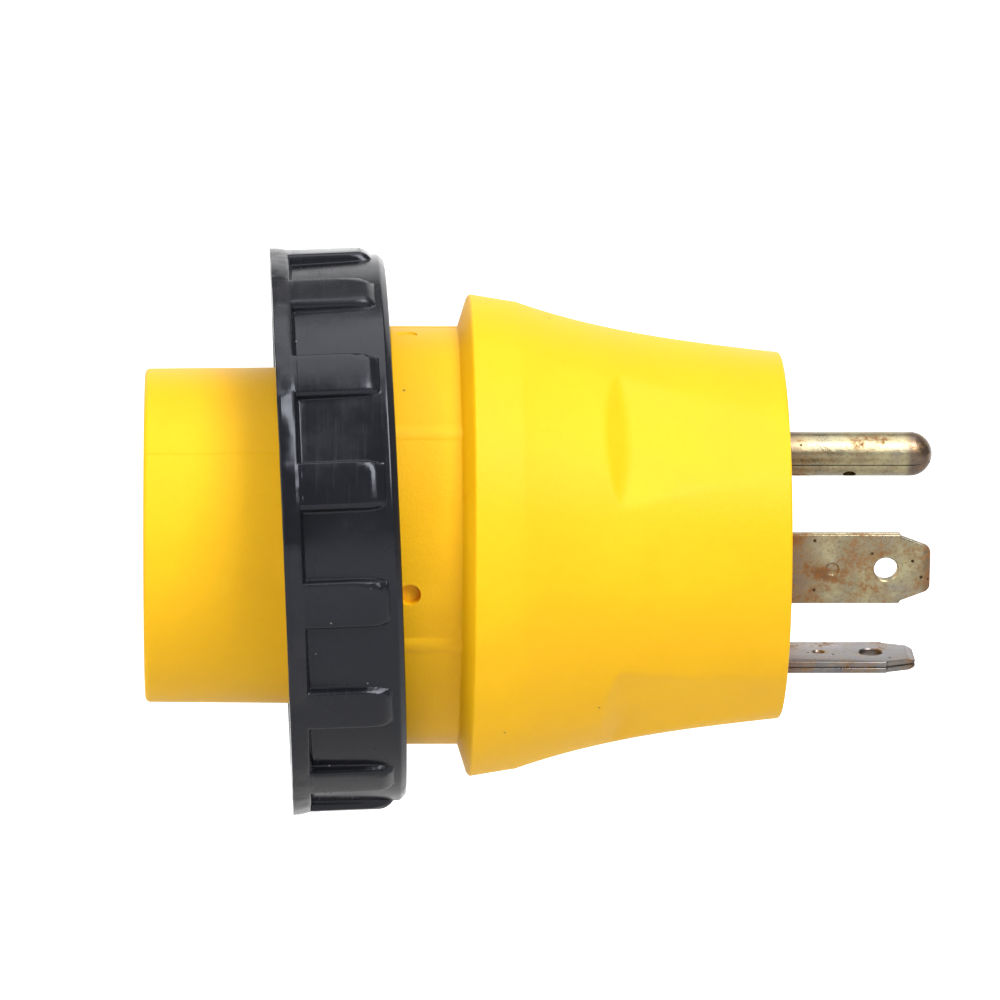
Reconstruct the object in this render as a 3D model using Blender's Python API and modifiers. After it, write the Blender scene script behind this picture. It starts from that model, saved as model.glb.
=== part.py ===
"""Travel trailer plug adapter, moulded in one piece.

A three-pin plug is at one end and a three-slot locking connector at the other. A loose
ring with an inside thread sits round the connector and clamps it to its inlet.

Metres, +Z up. The origin is the centre of the plug face. +X points out of that face,
along the blades, so every other piece except the pins lies at negative X. A "roll" is an
angle about the X axis, measured from +Y towards +Z.
"""

import math

import bmesh
import bpy
from mathutils import Matrix, Vector

GAP = 0.0003  # between pieces that touch on the real object
WELD = 0.00001
OVERRUN = 0.001  # of a cutter past the face it opens

# Rolls of the three poles. The ground pin points the same way at both ends.
GROUND_ROLL = math.radians(61)
LINE_CONTACT_ROLL = GROUND_ROLL + math.radians(120)
NEUTRAL_CONTACT_ROLL = GROUND_ROLL - math.radians(120)

# Body shell: the yellow overmould from the collar to the plug face.
SHELL_STEPS = 48
SHELL_CAVITY_RADIUS = 0.0224
SHELL_FACE_THICKNESS = 0.0032
FACE_RADIUS = 0.0251
FACE_ROUNDING = 0.0008
GRIP_SLOPE = 0.11  # growth of the grip's radius per metre at the plug face
GRIP_FLARE = 61.0  # cubic growth of the radius away from the face, per square metre
GRIP_END = -0.0363
GRIP_RINGS = 7
LAND_FRONT_RADIUS = 0.03205
LAND_FRONT = -0.0367
LAND_REAR_RADIUS = 0.0330
LAND_REAR = -0.0425
SHOULDER_REAR = -0.0429
COLLAR_RADIUS = 0.0284
COLLAR_FRONT = -0.0442
COLLAR_REAR = -0.0537
COLLAR_CHAMFER = 0.0005
RIB_COUNT = 6
RIB_HEIGHT = 0.00025
RIB_ROOT = 0.001  # how far it reaches into the collar
RIB_OVERRUN = 0.0005  # into the shoulder
RIB_WIDTH = 0.0012
TOOL_HOLE_COUNT = 4
TOOL_HOLE_RADIUS = 0.0016
TOOL_HOLE_DEPTH = 0.0020
TOOL_HOLE_X = -0.0512
RECESS_COUNT = 4
RECESS_FACE_DISTANCE = 0.0247  # floor of a finger recess to the axis, at the plug face
RECESS_DEEP_DISTANCE = 0.0262
RECESS_DEEP_X = -0.0195
RECESS_END = -0.0246
RECESS_MIDDLE_RISE = 0.0009  # of the end wall over the floor, halfway along it
RECESS_END_RISE = 0.0027
RECESS_OVERRUN = 0.002  # of the cutter past the plug face
RECESS_REACH = 0.016

# Connector: a housing whose neck carries the ring, and the insert in its nose.
HOUSING_STEPS = 48
NOSE_TIP = -0.08675
NOSE_TIP_RADIUS = 0.0228
NOSE_ROOT_RADIUS = 0.0230
NOSE_ROUNDING = 0.0004
FLANGE_FRONT = -0.0652
FLANGE_REAR = -0.0628
FLANGE_RADIUS = 0.0253
NECK_RADIUS = 0.0226
SPIGOT_RADIUS = SHELL_CAVITY_RADIUS - GAP
SPIGOT_END = -0.0400
NOSE_BORE_RADIUS = 0.0209
NOSE_BORE_END = -0.0697
SPIGOT_BORE_RADIUS = 0.0180
INSERT_RADIUS = NOSE_BORE_RADIUS - GAP
INSERT_FRONT = -0.08645
INSERT_REAR = -0.0726
SLOT_PITCH_RADIUS = 0.0143
SLOT_WIDTH = 0.0024
SLOT_ARC = math.radians(38)
SLOT_STEPS = 8
HOOK_LENGTH = 0.0026
HOOK_DEPTH = 0.0100
CONTACT_LENGTH = 0.0060
CONTACT_HALF_HEIGHT = 0.0021
CONTACT_FRONT = -0.0825
CONTACT_THROAT = 0.0012
CONTACT_PINCH = 0.0005
CONTACT_PINCH_SETBACK = 0.0030
CONTACT_CLEARANCE = 0.0004
CONTACT_FRONT_ROOM = 0.0007
CONTACT_SHEET = 0.0009
CONTACT_BACK = -0.0740
CONTACT_TAIL_END = -0.0690
CONTACT_TAIL_THICKNESS = 0.0012
COVER_THICKNESS = 0.0023

# Wiring inside the body.
CORE_RADIUS = 0.0013
JACKET_RADIUS = 0.0023
CRIMP_RADIUS = 0.0022
SLEEVE_BORE_RADIUS = CORE_RADIUS + GAP
CHANNEL_RADIUS = JACKET_RADIUS + GAP
CRIMP_LENGTH = 0.0060
SOCKET_CRIMP_START = -0.0685
PLUG_CRIMP_START = -0.0205
BEND_START = -0.0430
BEND_END = -0.0250
WIRE_POINT_SPACING = 0.0040

# Plug: three pins held by a carrier behind the face.
GROUND_PIN_OFFSET = 0.0128
GROUND_PIN_RADIUS = 0.00305
GROUND_PIN_LENGTH = 0.0217
BLADE_DROP = 0.01215  # from the axis, away from the ground pin
BLADE_SPREAD = 0.0130  # from the plane through the axis and the ground pin
BLADE_TILT = math.radians(45)
BLADE_LENGTH = 0.0191
BLADE_WIDTH = 0.0096
BLADE_THICKNESS = 0.0016
BLADE_TAPER_START = 0.0149
BLADE_TIP_WIDTH = 0.0058
BLADE_CORNER = 0.0008
BLADE_HOLE_RADIUS = 0.0016
BLADE_HOLE_SETBACK = 0.0060
DIMPLE_RADIUS = 0.00095
DIMPLE_DEPTH = 0.0003
DIMPLE_SETBACK = 0.0132
TAIL_WIDTH = 0.0042
TAIL_START = -0.0093
TAIL_END = -0.0142
CARRIER_FRONT = -0.0035
CARRIER_REAR = -0.0090

# Locking ring. "Axial" values run along the ring's own axis from its middle, positive
# towards the plug. The ring is loose, and hangs tilted and a little off centre.
RING_STEPS = 60
RING_CENTRE = Vector((-0.06045, 0.0, 0.0008))
RING_TILT = math.radians(2.4)
RING_HALF_LENGTH = 0.00775
LIP_RADIUS = 0.0386
LIP_REAR = -0.00505
LIP_ROUNDING = 0.0003
POCKET_RADIUS = 0.0371
POCKET_END = 0.0047
BAND_RADIUS = 0.0374
BAND_START = 0.0057
BAND_END = 0.0069
RIM_RADIUS = 0.0367
PAD_COUNT = 15
PAD_RADIUS = 0.0384
PAD_WIDTH = 0.0066
PAD_ROLL = math.radians(171)
PAD_TOP_END = 0.0048
PAD_END = 0.0060
PAD_ROOT = 0.002  # how far a pad reaches in under the pocket's floor
PAD_OVERLAP = 0.0005  # with the lip
BAND_DROP = 0.0002
BAND_ROUNDING = 0.0004
THREAD_RADIUS = 0.0322
THREAD_CREST_RADIUS = 0.0310
THREAD_START = -0.0064
THREAD_PITCH = 0.0032
THREAD_TURNS = 1.75
THREAD_STEPS = 70
THREAD_DEPTH = 0.0005  # of the ridge's root in the bore's wall
THREAD_CREST_HALF = 0.0004
THREAD_ROOT_HALF = 0.0012
THREAD_LEAD_IN = 0.0007
WEB_FRONT = 0.00195
WEB_REAR = 0.00445
WEB_BORE_RADIUS = 0.0239
SKIRT_BORE_RADIUS = 0.0302
SKIRT_CHAMFER = 0.0003
GASKET_FRONT = -0.00015
GASKET_INNER_RADIUS = 0.0236
GASKET_OUTER_RADIUS = 0.0305


def clear_scene():
    for obj in list(bpy.data.objects):
        bpy.data.objects.remove(obj, do_unlink=True)


def make_collection(name):
    collection = bpy.data.collections.new(name)
    bpy.context.scene.collection.children.link(collection)
    return collection


def make_material(name, colour, roughness, metallic=0.0):
    material = bpy.data.materials.new(name)
    material.use_nodes = True
    shader = material.node_tree.nodes["Principled BSDF"]
    shader.inputs["Base Color"].default_value = (*colour, 1.0)
    shader.inputs["Roughness"].default_value = roughness
    shader.inputs["Metallic"].default_value = metallic
    return material


def outward(roll):
    """Unit vector from the X axis, at this roll."""
    return Vector((0.0, math.cos(roll), math.sin(roll)))


def add_part(name, data, material):
    obj = bpy.data.objects.new(name, data)
    data.materials.clear()
    data.materials.append(material)
    bpy.data.collections["travel_trailer_adapter"].objects.link(obj)
    return obj


def add_cutter(name, mesh):
    obj = bpy.data.objects.new(name, mesh)
    bpy.data.collections["cutters"].objects.link(obj)
    obj.hide_render = True
    obj.display_type = "WIRE"
    return obj


def combine(target, tool, operation="DIFFERENCE"):
    modifier = target.modifiers.new(tool.name, "BOOLEAN")
    modifier.operation = operation
    modifier.solver = "EXACT"
    modifier.object = tool


def mesh_from_bmesh(name, bm):
    bmesh.ops.recalc_face_normals(bm, faces=bm.faces)
    mesh = bpy.data.meshes.new(name)
    bm.to_mesh(mesh)
    bm.free()
    return mesh


def evaluated_bmesh(obj):
    """The object's shape after its modifiers or its curve bevel, welded closed."""
    graph = bpy.context.evaluated_depsgraph_get()
    raw = bpy.data.meshes.new_from_object(obj.evaluated_get(graph))
    bm = bmesh.new()
    bm.from_mesh(raw)
    bpy.data.meshes.remove(raw)
    bmesh.ops.remove_doubles(bm, verts=bm.verts, dist=WELD)
    return bm


def shade_round(mesh):
    mesh.shade_smooth()
    mesh.set_sharp_from_angle(angle=math.radians(35))


def turned_mesh(name, profile, steps):
    """Revolves (radius, height) points about Z. They run down the outer side first.

    A profile that starts off the axis is a closed loop, and makes a ring.
    """
    mesh = bpy.data.meshes.new(name)
    points = [(radius, 0.0, height) for radius, height in profile]
    edges = [(i, i + 1) for i in range(len(points) - 1)]
    if profile[0][0] > 0:
        edges.append((len(points) - 1, 0))
    mesh.from_pydata(points, edges, [])
    lathe = bpy.data.objects.new(name, mesh)
    bpy.context.scene.collection.objects.link(lathe)
    screw = lathe.modifiers.new("Lathe", "SCREW")
    screw.steps = steps
    screw.render_steps = steps
    screw.use_merge_vertices = True
    screw.merge_threshold = WELD
    turned = mesh_from_bmesh(name, evaluated_bmesh(lathe))
    bpy.data.objects.remove(lathe, do_unlink=True)
    shade_round(turned)
    return turned


def turned_part(name, profile, steps, material):
    """A turned piece whose profile heights are X positions."""
    part = add_part(name, turned_mesh(name, profile, steps), material)
    part.rotation_euler = (0.0, math.pi / 2, 0.0)
    return part


def prism_mesh(name, outline, depth):
    """A flat outline of (x, z) points, made solid along Y by this depth about y = 0."""
    bm = bmesh.new()
    verts = [bm.verts.new((x, -depth / 2, z)) for x, z in outline]
    face = bm.faces.new(verts)
    grown = bmesh.ops.extrude_face_region(bm, geom=[face])
    moved = [item for item in grown["geom"] if isinstance(item, bmesh.types.BMVert)]
    bmesh.ops.translate(bm, verts=moved, vec=(0.0, depth, 0.0))
    return mesh_from_bmesh(name, bm)


def cylinder_mesh(name, radius, depth, segments, matrix):
    bm = bmesh.new()
    bmesh.ops.create_cone(
        bm, cap_ends=True, segments=segments, radius1=radius, radius2=radius, depth=depth, matrix=matrix
    )
    return mesh_from_bmesh(name, bm)


def box_mesh(name, low, high):
    """A box from its lowest to its highest corner."""
    size = Vector(high) - Vector(low)
    middle = (Vector(high) + Vector(low)) / 2
    bm = bmesh.new()
    matrix = Matrix.Translation(middle) @ Matrix.Diagonal((*size, 1.0))
    bmesh.ops.create_cube(bm, size=1.0, matrix=matrix)
    return mesh_from_bmesh(name, bm)


def roll_to(obj, roll):
    """Turns an object about X, so that its own +Z points outward at this roll."""
    obj.rotation_euler = (roll - math.pi / 2, 0.0, 0.0)


def grip_radius(x):
    distance = -x
    return FACE_RADIUS + GRIP_SLOPE * distance + GRIP_FLARE * distance**3


def shell_profile():
    grip = [GRIP_END * i / GRIP_RINGS for i in range(1, GRIP_RINGS + 1)]
    profile = [(0.0, 0.0), (FACE_RADIUS - FACE_ROUNDING, 0.0), (FACE_RADIUS, -FACE_ROUNDING)]
    profile += [(grip_radius(x), x) for x in grip]
    profile += [
        (LAND_FRONT_RADIUS, LAND_FRONT),
        (LAND_REAR_RADIUS, LAND_REAR),
        (LAND_REAR_RADIUS - COLLAR_CHAMFER, SHOULDER_REAR),
        (COLLAR_RADIUS, COLLAR_FRONT),
        (COLLAR_RADIUS, COLLAR_REAR + COLLAR_CHAMFER),
        (COLLAR_RADIUS - COLLAR_CHAMFER, COLLAR_REAR),
        (SHELL_CAVITY_RADIUS, COLLAR_REAR),
        (SHELL_CAVITY_RADIUS, -SHELL_FACE_THICKNESS),
        (0.0, -SHELL_FACE_THICKNESS),
    ]
    return profile


def recess_outline():
    """Side view of what a finger recess removes: its sloping floor and its end wall."""
    slope = (RECESS_DEEP_DISTANCE - RECESS_FACE_DISTANCE) / RECESS_DEEP_X
    middle = (RECESS_DEEP_X + RECESS_END) / 2
    return [
        (RECESS_OVERRUN, RECESS_FACE_DISTANCE + slope * RECESS_OVERRUN),
        (RECESS_DEEP_X, RECESS_DEEP_DISTANCE),
        (middle, RECESS_DEEP_DISTANCE + RECESS_MIDDLE_RISE),
        (RECESS_END, RECESS_DEEP_DISTANCE + RECESS_END_RISE),
        (RECESS_END, 2 * FACE_RADIUS),
        (RECESS_OVERRUN, 2 * FACE_RADIUS),
    ]


def make_body_shell(material):
    shell = turned_part("body_shell", shell_profile(), SHELL_STEPS, material)
    recess = prism_mesh("finger_recess", recess_outline(), 2 * RECESS_REACH)
    for i in range(RECESS_COUNT):
        cutter = add_cutter(f"finger_recess_{i + 1}", recess)
        roll_to(cutter, GROUND_ROLL + i * math.tau / RECESS_COUNT)
        combine(shell, cutter)
    rib = box_mesh(
        "collar_rib",
        (COLLAR_REAR + 2 * COLLAR_CHAMFER, -RIB_WIDTH / 2, COLLAR_RADIUS - RIB_ROOT),
        (COLLAR_FRONT + RIB_OVERRUN, RIB_WIDTH / 2, COLLAR_RADIUS + RIB_HEIGHT),
    )
    for i in range(RIB_COUNT):
        joiner = add_cutter(f"collar_rib_{i + 1}", rib)
        roll_to(joiner, GROUND_ROLL + (i + 0.5) * math.tau / RIB_COUNT)
        combine(shell, joiner, "UNION")
    place = Matrix.Translation((TOOL_HOLE_X, 0.0, COLLAR_RADIUS))
    hole = cylinder_mesh("tool_hole", TOOL_HOLE_RADIUS, 2 * TOOL_HOLE_DEPTH, 12, place)
    for i in range(TOOL_HOLE_COUNT):
        cutter = add_cutter(f"tool_hole_{i + 1}", hole)
        roll_to(cutter, GROUND_ROLL + (i + 0.5) * math.tau / TOOL_HOLE_COUNT)
        combine(shell, cutter)
    return shell


def make_socket_housing(material):
    profile = [
        (SPIGOT_BORE_RADIUS, SPIGOT_END),
        (SPIGOT_RADIUS, SPIGOT_END),
        (SPIGOT_RADIUS, COLLAR_REAR - GAP),
        (NECK_RADIUS, COLLAR_REAR - GAP),
        (NECK_RADIUS, FLANGE_REAR),
        (FLANGE_RADIUS, FLANGE_REAR),
        (FLANGE_RADIUS, FLANGE_FRONT),
        (NOSE_ROOT_RADIUS, FLANGE_FRONT),
        (NOSE_TIP_RADIUS, NOSE_TIP + NOSE_ROUNDING),
        (NOSE_TIP_RADIUS - NOSE_ROUNDING, NOSE_TIP),
        (NOSE_BORE_RADIUS, NOSE_TIP),
        (NOSE_BORE_RADIUS, NOSE_BORE_END),
        (SPIGOT_BORE_RADIUS, NOSE_BORE_END),
    ]
    return turned_part("socket_housing", profile, HOUSING_STEPS, material)


def slot_mesh(name):
    """One curved slot, right through the insert, pointing along +Z."""
    inner = SLOT_PITCH_RADIUS - SLOT_WIDTH / 2
    outer = SLOT_PITCH_RADIUS + SLOT_WIDTH / 2
    angles = [SLOT_ARC * (i / SLOT_STEPS - 0.5) for i in range(SLOT_STEPS + 1)]
    outline = [(outer * math.sin(a), outer * math.cos(a)) for a in angles]
    outline += [(inner * math.sin(a), inner * math.cos(a)) for a in reversed(angles)]
    bm = bmesh.new()
    verts = [bm.verts.new((INSERT_FRONT - OVERRUN, y, z)) for y, z in outline]
    face = bm.faces.new(verts)
    grown = bmesh.ops.extrude_face_region(bm, geom=[face])
    moved = [item for item in grown["geom"] if isinstance(item, bmesh.types.BMVert)]
    bmesh.ops.translate(bm, verts=moved, vec=(INSERT_REAR - INSERT_FRONT + 2 * OVERRUN, 0.0, 0.0))
    return mesh_from_bmesh(name, bm)


def hook_mesh(name):
    """The short inward leg at one end of the ground slot."""
    end = (SLOT_PITCH_RADIUS - SLOT_WIDTH / 2) * math.sin(SLOT_ARC / 2)
    return box_mesh(
        name,
        (INSERT_FRONT - OVERRUN, end - SLOT_WIDTH, SLOT_PITCH_RADIUS - SLOT_WIDTH / 2 - HOOK_LENGTH),
        (INSERT_FRONT + HOOK_DEPTH, end, SLOT_PITCH_RADIUS),
    )


def make_socket_insert(material, rolls):
    profile = [
        (0.0, INSERT_REAR),
        (INSERT_RADIUS, INSERT_REAR),
        (INSERT_RADIUS, INSERT_FRONT),
        (0.0, INSERT_FRONT),
    ]
    insert = turned_part("socket_insert", profile, HOUSING_STEPS, material)
    pocket = box_mesh(
        "contact_pocket",
        (
            CONTACT_FRONT - CONTACT_FRONT_ROOM,
            -CONTACT_LENGTH / 2 - CONTACT_CLEARANCE,
            SLOT_PITCH_RADIUS - CONTACT_HALF_HEIGHT - CONTACT_CLEARANCE,
        ),
        (
            INSERT_REAR + OVERRUN,
            CONTACT_LENGTH / 2 + CONTACT_CLEARANCE,
            SLOT_PITCH_RADIUS + CONTACT_HALF_HEIGHT + CONTACT_CLEARANCE,
        ),
    )
    slot = slot_mesh("slot")
    for pole, roll in rolls.items():
        for cutter in (
            add_cutter(f"slot_{pole}", slot),
            add_cutter(f"contact_pocket_{pole}", pocket),
        ):
            roll_to(cutter, roll)
            combine(insert, cutter)
    hook = add_cutter("ground_slot_hook", hook_mesh("ground_slot_hook"))
    roll_to(hook, rolls["ground"])
    combine(insert, hook)
    return insert


def make_socket_cover(material, rolls):
    front = INSERT_REAR + GAP
    rear = front + COVER_THICKNESS
    profile = [(0.0, rear), (INSERT_RADIUS, rear), (INSERT_RADIUS, front), (0.0, front)]
    cover = turned_part("socket_cover", profile, HOUSING_STEPS, material)
    half_length = CONTACT_LENGTH / 2 + GAP
    half_height = CONTACT_TAIL_THICKNESS / 2 + GAP
    window = box_mesh(
        "tail_window",
        (front - OVERRUN, -half_length, SLOT_PITCH_RADIUS - half_height),
        (rear + OVERRUN, half_length, SLOT_PITCH_RADIUS + half_height),
    )
    for pole, roll in rolls.items():
        cutter = add_cutter(f"tail_window_{pole}", window)
        roll_to(cutter, roll)
        combine(cover, cutter)
    return cover


def contact_outline():
    """Side view of a contact: two jaws that bow towards each other, a back and a tail."""
    pinch_x = CONTACT_FRONT + CONTACT_PINCH_SETBACK
    back_inner = CONTACT_BACK - CONTACT_SHEET
    tail = CONTACT_TAIL_THICKNESS / 2
    upper = [
        (CONTACT_TAIL_END, tail),
        (CONTACT_BACK, tail),
        (CONTACT_BACK, CONTACT_HALF_HEIGHT),
        (back_inner, CONTACT_HALF_HEIGHT),
        (pinch_x, CONTACT_PINCH + CONTACT_SHEET),
        (CONTACT_FRONT, CONTACT_HALF_HEIGHT),
        (CONTACT_FRONT, CONTACT_THROAT),
        (pinch_x, CONTACT_PINCH),
        (back_inner, CONTACT_THROAT),
    ]
    lower = [(x, -z) for x, z in reversed(upper)]
    return [(x, z + SLOT_PITCH_RADIUS) for x, z in upper + lower]


def make_contacts(material, rolls):
    for pole, roll in rolls.items():
        mesh = prism_mesh(f"contact_{pole}", contact_outline(), CONTACT_LENGTH)
        roll_to(add_part(f"contact_{pole}", mesh, material), roll)


def wire_route(start, end, first_x, last_x):
    """Points along a wire: straight, a smooth bend from start to end, straight."""
    count = math.ceil((last_x - first_x) / WIRE_POINT_SPACING)
    points = []
    for i in range(count + 1):
        x = first_x + (last_x - first_x) * i / count
        t = min(max((x - BEND_START) / (BEND_END - BEND_START), 0.0), 1.0)
        side = start.lerp(end, t * t * (3 - 2 * t))
        points.append(Vector((x, side.y, side.z)))
    return points


def wire_curve(name, points, radius):
    curve = bpy.data.curves.new(name, "CURVE")
    curve.dimensions = "3D"
    curve.bevel_depth = radius
    curve.bevel_resolution = 2
    curve.use_fill_caps = True
    spline = curve.splines.new("POLY")
    spline.points.add(len(points) - 1)
    for spot, point in zip(spline.points, points):
        spot.co = (*point, 1.0)
    return curve


def wire_mesh(name, points, radius):
    """A round bar along the points, as a closed mesh that Booleans can read."""
    holder = bpy.data.objects.new(name, wire_curve(name, points, radius))
    bpy.context.scene.collection.objects.link(holder)
    bar = mesh_from_bmesh(name, evaluated_bmesh(holder))
    bpy.data.objects.remove(holder, do_unlink=True)
    return bar


def make_crimp(name, start, spot, material):
    end = start + CRIMP_LENGTH
    profile = [
        (SLEEVE_BORE_RADIUS, end),
        (CRIMP_RADIUS, end),
        (CRIMP_RADIUS, start),
        (SLEEVE_BORE_RADIUS, start),
    ]
    crimp = turned_part(name, profile, 16, material)
    crimp.location = spot
    return crimp


def make_wiring(materials, ends):
    """One wire a pole: a copper core, its jacket and a crimp sleeve at each end."""
    core_start = SOCKET_CRIMP_START + GAP
    core_end = PLUG_CRIMP_START + CRIMP_LENGTH - GAP
    jacket_start = SOCKET_CRIMP_START + CRIMP_LENGTH + GAP
    jacket_end = PLUG_CRIMP_START - GAP
    for pole, (start, end) in ends.items():
        core_route = wire_route(start, end, core_start, core_end)
        core = wire_mesh(f"wire_core_{pole}", core_route, CORE_RADIUS)
        add_part(f"wire_core_{pole}", core, materials["copper"])
        jacket_route = wire_route(start, end, jacket_start, jacket_end)
        jacket = wire_mesh(f"wire_jacket_{pole}", jacket_route, JACKET_RADIUS)
        sleeve = add_part(f"wire_jacket_{pole}", jacket, materials[f"jacket_{pole}"])
        bore_route = wire_route(start, end, core_start, core_end)
        bore = wire_mesh(f"jacket_bore_{pole}", bore_route, SLEEVE_BORE_RADIUS)
        combine(sleeve, add_cutter(f"jacket_bore_{pole}", bore))
        make_crimp(f"crimp_socket_{pole}", SOCKET_CRIMP_START, start, materials["crimp"])
        make_crimp(f"crimp_plug_{pole}", PLUG_CRIMP_START, end, materials["crimp"])


def make_inner_core(material, ends):
    """The block moulded round the wires before the yellow shell goes over it."""
    front = CARRIER_REAR - GAP
    rear = SPIGOT_END + GAP
    profile = [(0.0, front), (SPIGOT_RADIUS, front), (SPIGOT_RADIUS, rear), (0.0, rear)]
    core = turned_part("inner_core", profile, SHELL_STEPS, material)
    for pole, (start, end) in ends.items():
        route = wire_route(start, end, rear - 2 * OVERRUN, front + 2 * OVERRUN)
        channel = wire_mesh(f"wire_channel_{pole}", route, CHANNEL_RADIUS)
        combine(core, add_cutter(f"wire_channel_{pole}", channel))
    return core


def blade_outline():
    half = BLADE_WIDTH / 2
    tip = BLADE_TIP_WIDTH / 2
    upper = [
        (TAIL_END, TAIL_WIDTH / 2),
        (TAIL_START, TAIL_WIDTH / 2),
        (TAIL_START, half),
        (BLADE_TAPER_START, half),
        (BLADE_LENGTH - BLADE_CORNER, tip + BLADE_CORNER / 2),
        (BLADE_LENGTH, tip - BLADE_CORNER),
    ]
    lower = [(x, -z) for x, z in reversed(upper)]
    return upper + lower


def make_blade(name, spot, width_roll, material):
    """A flat blade. Its width lies along width_roll."""
    mesh = prism_mesh(name, blade_outline(), BLADE_THICKNESS)
    blade = add_part(name, mesh, material)
    upright = Matrix.Rotation(math.pi / 2, 4, "X")
    hole_place = Matrix.Translation((BLADE_LENGTH - BLADE_HOLE_SETBACK, 0.0, 0.0))
    hole = cylinder_mesh(
        f"hole_{name}", BLADE_HOLE_RADIUS, 4 * BLADE_THICKNESS, 20, hole_place @ upright
    )
    outer_side = -BLADE_THICKNESS / 2
    dimple_place = Matrix.Translation((BLADE_LENGTH - DIMPLE_SETBACK, outer_side, 0.0))
    dimple = cylinder_mesh(
        f"dimple_{name}", DIMPLE_RADIUS, 2 * DIMPLE_DEPTH, 12, dimple_place @ upright
    )
    for cutter_mesh in (hole, dimple):
        cutter = add_cutter(cutter_mesh.name, cutter_mesh)
        cutter.location = spot
        roll_to(cutter, width_roll)
        combine(blade, cutter)
    blade.location = spot
    roll_to(blade, width_roll)
    return blade


def make_ground_pin(spot, material):
    length = GROUND_PIN_LENGTH
    radius = GROUND_PIN_RADIUS
    dome = [math.radians(angle) for angle in (90, 68, 46, 24, 0)]
    profile = [(radius * math.cos(a), length - radius * (1 - math.sin(a))) for a in dome]
    profile[0] = (0.0, length)
    profile += [
        (radius, TAIL_START),
        (TAIL_WIDTH / 2, TAIL_START),
        (TAIL_WIDTH / 2, TAIL_END),
        (0.0, TAIL_END),
    ]
    pin = turned_part("ground_pin", profile, 24, material)
    pin.location = spot
    return pin


def make_carrier(material):
    profile = [
        (0.0, CARRIER_FRONT),
        (SPIGOT_RADIUS, CARRIER_FRONT),
        (SPIGOT_RADIUS, CARRIER_REAR),
        (0.0, CARRIER_REAR),
    ]
    return turned_part("blade_carrier", profile, SHELL_STEPS, material)


def make_pin_openings(bodies, spots, width_rolls):
    """Cuts the way of each pin through the shell's face and the carrier."""
    rear = TAIL_START - OVERRUN
    front = OVERRUN
    half_thickness = BLADE_THICKNESS / 2 + GAP
    half_width = BLADE_WIDTH / 2 + GAP
    blade_way = box_mesh(
        "blade_way", (rear, -half_thickness, -half_width), (front, half_thickness, half_width)
    )
    sideways = Matrix.Rotation(math.pi / 2, 4, "Y")
    middle = Matrix.Translation(((front + rear) / 2, 0.0, 0.0))
    pin_way = cylinder_mesh(
        "pin_way", GROUND_PIN_RADIUS + GAP, front - rear, 24, middle @ sideways
    )
    for pole, spot in spots.items():
        is_ground = pole == "ground"
        cutter = add_cutter(f"pin_way_{pole}", pin_way if is_ground else blade_way)
        cutter.location = spot
        if not is_ground:
            roll_to(cutter, width_rolls[pole])
        for body in bodies:
            combine(body, cutter)


def thread_mesh(name):
    """The inside thread's ridge: a tapered rib wound as a helix, its root in the bore."""
    bm = bmesh.new()
    section = [
        (THREAD_RADIUS + THREAD_DEPTH, -THREAD_ROOT_HALF),
        (THREAD_CREST_RADIUS, -THREAD_CREST_HALF),
        (THREAD_CREST_RADIUS, THREAD_CREST_HALF),
        (THREAD_RADIUS + THREAD_DEPTH, THREAD_ROOT_HALF),
    ]
    verts = [bm.verts.new((radius, 0.0, THREAD_START + z)) for radius, z in section]
    face = bm.faces.new(verts)
    climb = THREAD_PITCH * THREAD_TURNS / THREAD_STEPS
    bmesh.ops.spin(
        bm,
        geom=[face, *face.edges, *face.verts],
        cent=(0.0, 0.0, 0.0),
        axis=(0.0, 0.0, 1.0),
        dvec=(0.0, 0.0, climb),
        angle=math.tau * THREAD_TURNS,
        steps=THREAD_STEPS,
        use_duplicate=False,
    )
    return mesh_from_bmesh(name, bm)


def pads_mesh(name):
    """The grip pads: a flat-topped bar each, its front end in the lip, its rear sloping."""
    root = POCKET_RADIUS - PAD_ROOT
    outline = [
        (LIP_REAR - PAD_OVERLAP, root),
        (LIP_REAR - PAD_OVERLAP, PAD_RADIUS),
        (PAD_TOP_END, PAD_RADIUS),
        (PAD_END, BAND_RADIUS - BAND_DROP),
        (PAD_END, root),
    ]
    half = PAD_WIDTH / 2
    bm = bmesh.new()
    for i in range(PAD_COUNT):
        # The ring's own X points down, a quarter turn short of its own Y.
        angle = PAD_ROLL + math.pi / 2 + i * math.tau / PAD_COUNT
        turn = Matrix.Rotation(angle, 4, "Z")
        verts = [bm.verts.new(turn @ Vector((radius, -half, along))) for along, radius in outline]
        face = bm.faces.new(verts)
        grown = bmesh.ops.extrude_face_region(bm, geom=[face])
        moved = [item for item in grown["geom"] if isinstance(item, bmesh.types.BMVert)]
        bmesh.ops.translate(bm, verts=moved, vec=turn @ Vector((0.0, PAD_WIDTH, 0.0)))
    return mesh_from_bmesh(name, bm)


def ring_profile():
    half = RING_HALF_LENGTH
    return [
        (SKIRT_BORE_RADIUS + SKIRT_CHAMFER, half),
        (RIM_RADIUS, half),
        (BAND_RADIUS - BAND_DROP, half - BAND_ROUNDING),
        (BAND_RADIUS, BAND_END),
        (BAND_RADIUS, BAND_START),
        (POCKET_RADIUS, POCKET_END),
        (POCKET_RADIUS, LIP_REAR),
        (LIP_RADIUS, LIP_REAR),
        (LIP_RADIUS, LIP_ROUNDING - half),
        (LIP_RADIUS - LIP_ROUNDING, -half),
        (THREAD_RADIUS + THREAD_LEAD_IN, -half),
        (THREAD_RADIUS, THREAD_LEAD_IN - half),
        (THREAD_RADIUS, WEB_FRONT),
        (WEB_BORE_RADIUS, WEB_FRONT),
        (WEB_BORE_RADIUS, WEB_REAR),
        (SKIRT_BORE_RADIUS, WEB_REAR),
        (SKIRT_BORE_RADIUS, half - SKIRT_CHAMFER),
    ]


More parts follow.
